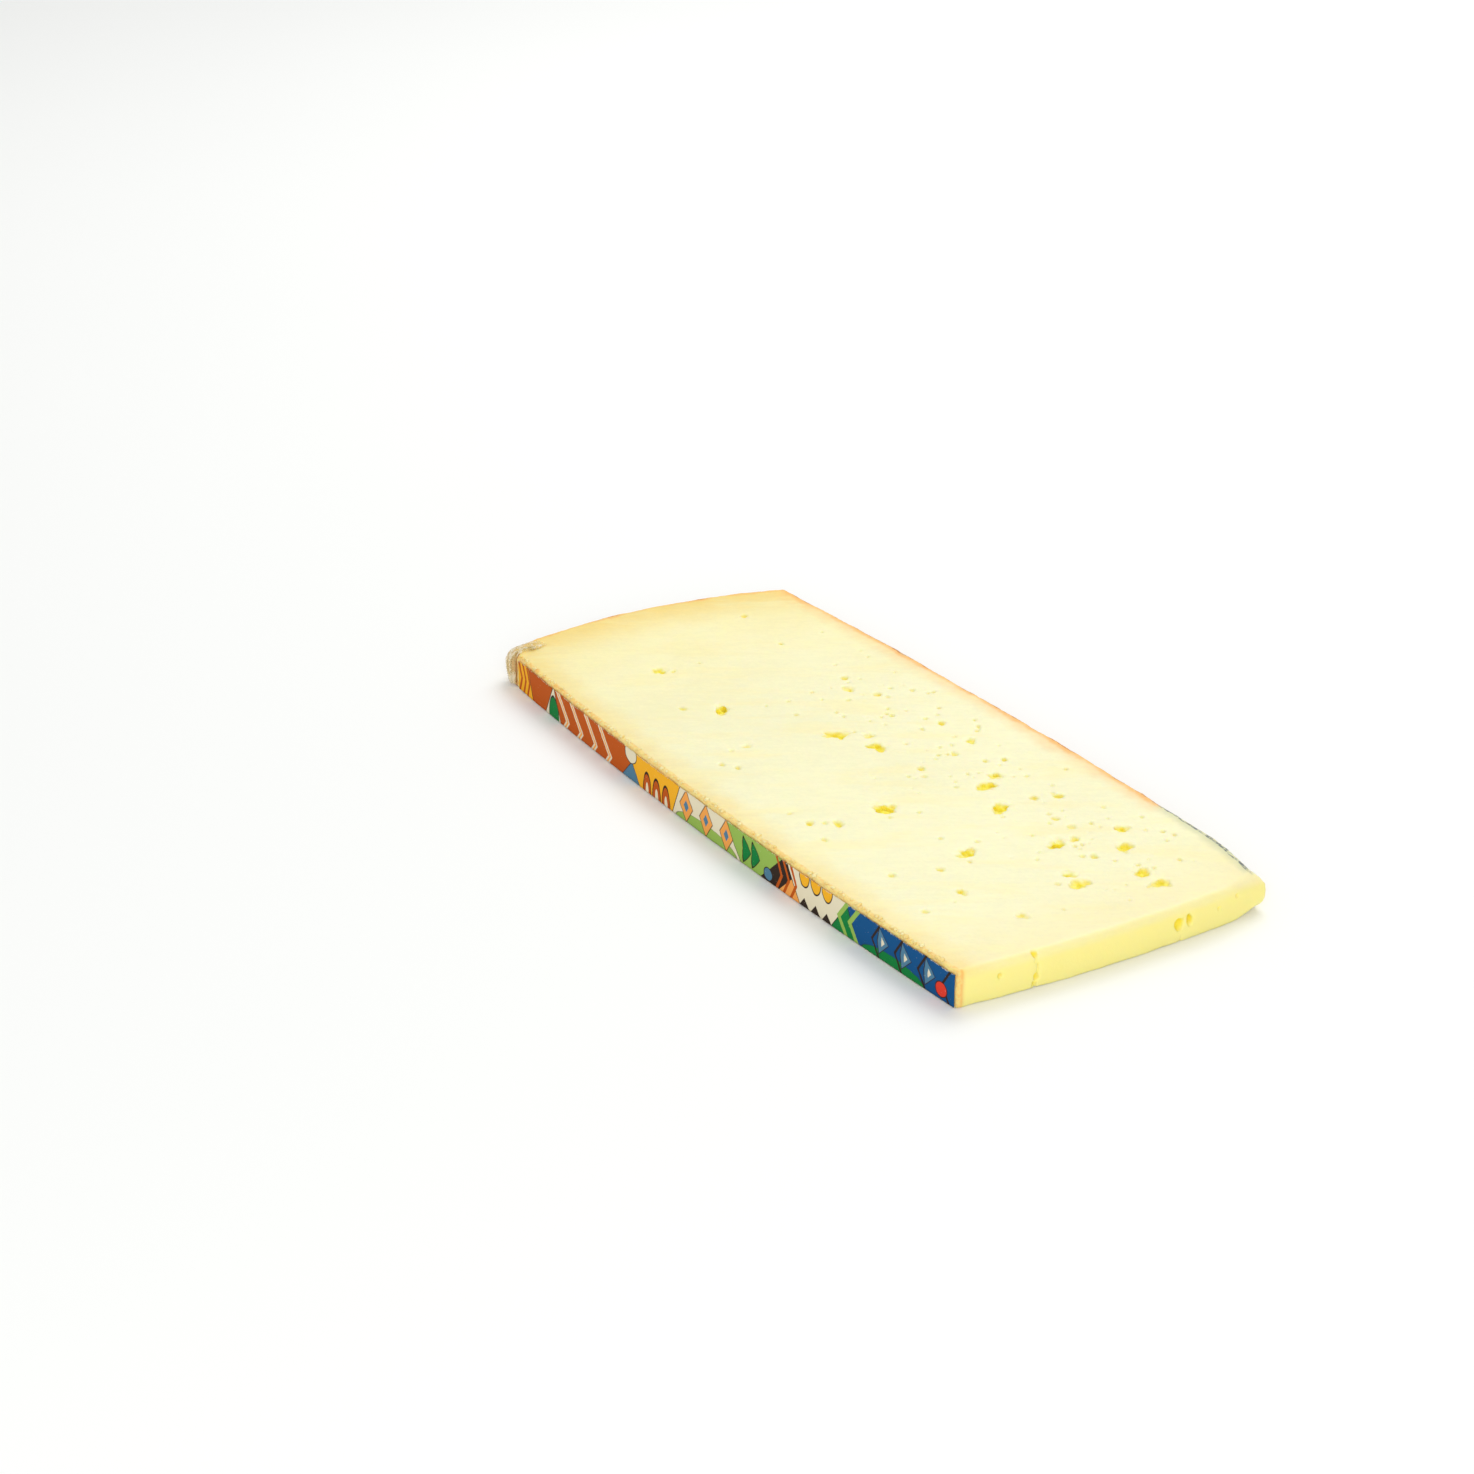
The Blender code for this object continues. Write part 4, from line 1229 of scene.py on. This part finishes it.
def crumb_mesh(count):
    """Loose crumbs on and beside the labelled rim, as one mesh."""
    lump = new_primitive("crumb", bpy.ops.mesh.primitive_cube_add, size=1)
    edit_whole(lump, bpy.ops.mesh.subdivide, number_cuts=1, smoothness=0.9)
    draw = random.Random(CRUMB_SEED)
    crumbs = []
    for _ in range(count):
        x = draw.uniform(*RIM_RUN)
        inward = abs(draw.gauss(0, CRUMB_SPREAD))
        span = draw.uniform(*CRUMB_SIZES)
        place = Vector((x, label_side_y(x) + span / 2 + inward, THICKNESS + span * 0.05))
        crumb = copy_of(lump, bpy.context.scene.collection)
        spans = (span * draw.uniform(0.8, 1.4), span * draw.uniform(0.8, 1.4), span * 0.8)
        for vertex in crumb.data.vertices:
            swell = 1 + 0.5 * noise.noise(vertex.co * 3 + place / MM)
            vertex.co = Vector([vertex.co[axis] * spans[axis] for axis in range(3)]) * swell
        turn = Matrix.Rotation(draw.uniform(0, math.pi), 4, "Z")
        crumb.data.transform(Matrix.Translation(place) @ turn)
        crumbs.append(crumb)
    crumbs[0].name = "rim_crumbs"
    join_all(crumbs[0], crumbs[1:])
    bpy.data.objects.remove(lump)
    bpy.ops.object.shade_smooth()
    return crumbs[0]


def crumb_material(look):
    """Dry crumbs of rind and paste: pale and matt."""
    finish, shader, add = new_material("rind_crumbs", Roughness=0.6)
    place = add("TexCoord").outputs["Object"]
    patches = add("TexNoise", (place, 1 / (1.4 * MM), 2.0))
    share = add("MapRange", (patches, 0.4, 0.6), **SMOOTH)
    link_shader(shader, Base_Color=lay_over(add, look.rim_crust, look.paste_heel, share))
    return finish


class CHEESE_OT_slice(bpy.types.Operator):
    """Model the slice with its eyes and rind"""

    bl_idname = "cheese.add_slice"
    bl_label = "Cheese slice"

    def execute(self, context):
        look = context.scene.cheese_look
        piece = cheese_mesh(look)
        piece.data.materials.clear()
        piece.data.materials.append(cheese_material(look))
        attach(piece, "root")
        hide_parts("cheese")
        return {"FINISHED"}


class CHEESE_OT_crumbs(bpy.types.Operator):
    """Strew loose crumbs along the labelled rim"""

    bl_idname = "cheese.add_crumbs"
    bl_label = "Rim crumbs"

    def execute(self, context):
        look = context.scene.cheese_look
        piece = crumb_mesh(look.crumbs)
        piece.data.materials.clear()
        piece.data.materials.append(crumb_material(look))
        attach(piece, "root")
        return {"FINISHED"}


class CHEESE_OT_label(bpy.types.Operator):
    """Model the printed paper strip"""

    bl_idname = "cheese.add_label"
    bl_label = "Label strip"

    def execute(self, context):
        piece = label_mesh()
        piece.data.materials.append(label_material(context.scene.label_look))
        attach(piece, "root")
        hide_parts("label")
        return {"FINISHED"}


class CHEESE_OT_film(bpy.types.Operator):
    """Model the scrap of clear film at the heel corner"""

    bl_idname = "cheese.add_film"
    bl_label = "Clear film"

    def execute(self, context):
        look = context.scene.film_look
        piece = wrap_mesh(look)
        piece.data.materials.append(film_material(look))
        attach(piece, "root")
        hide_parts("wrap")
        return {"FINISHED"}


def area_light(name, place, side, power):
    """A square soft light that looks at the slice."""
    bpy.ops.object.select_all(action="DESELECT")
    bpy.ops.object.light_add(type="AREA", location=place)
    light = bpy.context.active_object
    light.name = name
    light.rotation_euler = (-Vector(place)).to_track_quat("-Z", "Y").to_euler()
    light.data.size = side
    light.data.energy = power


class CHEESE_OT_stage(bpy.types.Operator):
    """Set the pale floor, the soft light and the camera"""

    bl_idname = "cheese.set_stage"
    bl_label = "Stage"

    def execute(self, context):
        look = context.scene.stage_look
        floor = new_primitive(
            "floor", bpy.ops.mesh.primitive_plane_add, size=FLOOR_SIZE, location=(0, 0, -FLOOR_DROP)
        )
        apply_place(floor)
        finish, shader, add = new_material("matt_floor", Roughness=0.9)
        place = add("TexCoord").outputs["Object"]
        patches = add("TexNoise", (place, 1 / (300 * MM)))
        shade = tuple(0.98 * channel for channel in look.floor)
        link_shader(shader, Base_Color=lay_over(add, look.floor, shade, patches))
        floor.data.materials.append(finish)
        area_light("key_light", *KEY_LIGHT, look.key)
        area_light("fill_light", *FILL_LIGHT, look.fill)
        world = bpy.data.worlds.new("white_surroundings")
        context.scene.world = world
        world.use_nodes = True
        back = world.node_tree.nodes["Background"]
        back.inputs["Color"].default_value = (1, 1, 1, 1)
        back.inputs["Strength"].default_value = look.sky
        bpy.ops.object.camera_add(location=CAMERA_PLACE)
        camera = bpy.context.active_object
        camera.name = "camera"
        camera.rotation_euler = [math.radians(turn) for turn in CAMERA_TURN_DEGREES]
        camera.data.sensor_width = SENSOR_MM
        camera.data.lens = look.lens
        camera.data.clip_start = 10 * MM
        camera.data.clip_end = 20
        context.scene.camera = camera
        context.scene.view_settings.view_transform = "Standard"
        return {"FINISHED"}


class CHEESE_PT_panel(bpy.types.Panel):
    """The slice's pieces and its stage"""

    bl_idname = "CHEESE_PT_panel"
    bl_label = "Cheese slice"
    bl_space_type = "VIEW_3D"
    bl_region_type = "UI"
    bl_category = "Cheese"

    def draw(self, context):
        for operator in OPERATORS:
            self.layout.operator(operator.bl_idname)


LOOKS = {
    "cheese_look": CheeseLook,
    "label_look": LabelLook,
    "film_look": FilmLook,
    "stage_look": StageLook,
}
OPERATORS = (CHEESE_OT_slice, CHEESE_OT_crumbs, CHEESE_OT_label, CHEESE_OT_film, CHEESE_OT_stage)


def register():
    for kind in (*LOOKS.values(), *OPERATORS, CHEESE_PT_panel):
        bpy.utils.register_class(kind)
    for name, group in LOOKS.items():
        setattr(bpy.types.Scene, name, PointerProperty(type=group))


def unregister():
    for name in LOOKS:
        delattr(bpy.types.Scene, name)
    for kind in (CHEESE_PT_panel, *reversed(OPERATORS), *reversed(LOOKS.values())):
        bpy.utils.unregister_class(kind)


def main():
    register()
    bpy.ops.cheese.add_slice()
    bpy.ops.cheese.add_crumbs()
    bpy.ops.cheese.add_label()
    bpy.ops.cheese.add_film()
    bpy.ops.cheese.set_stage()


if __name__ == "__main__":
    main()
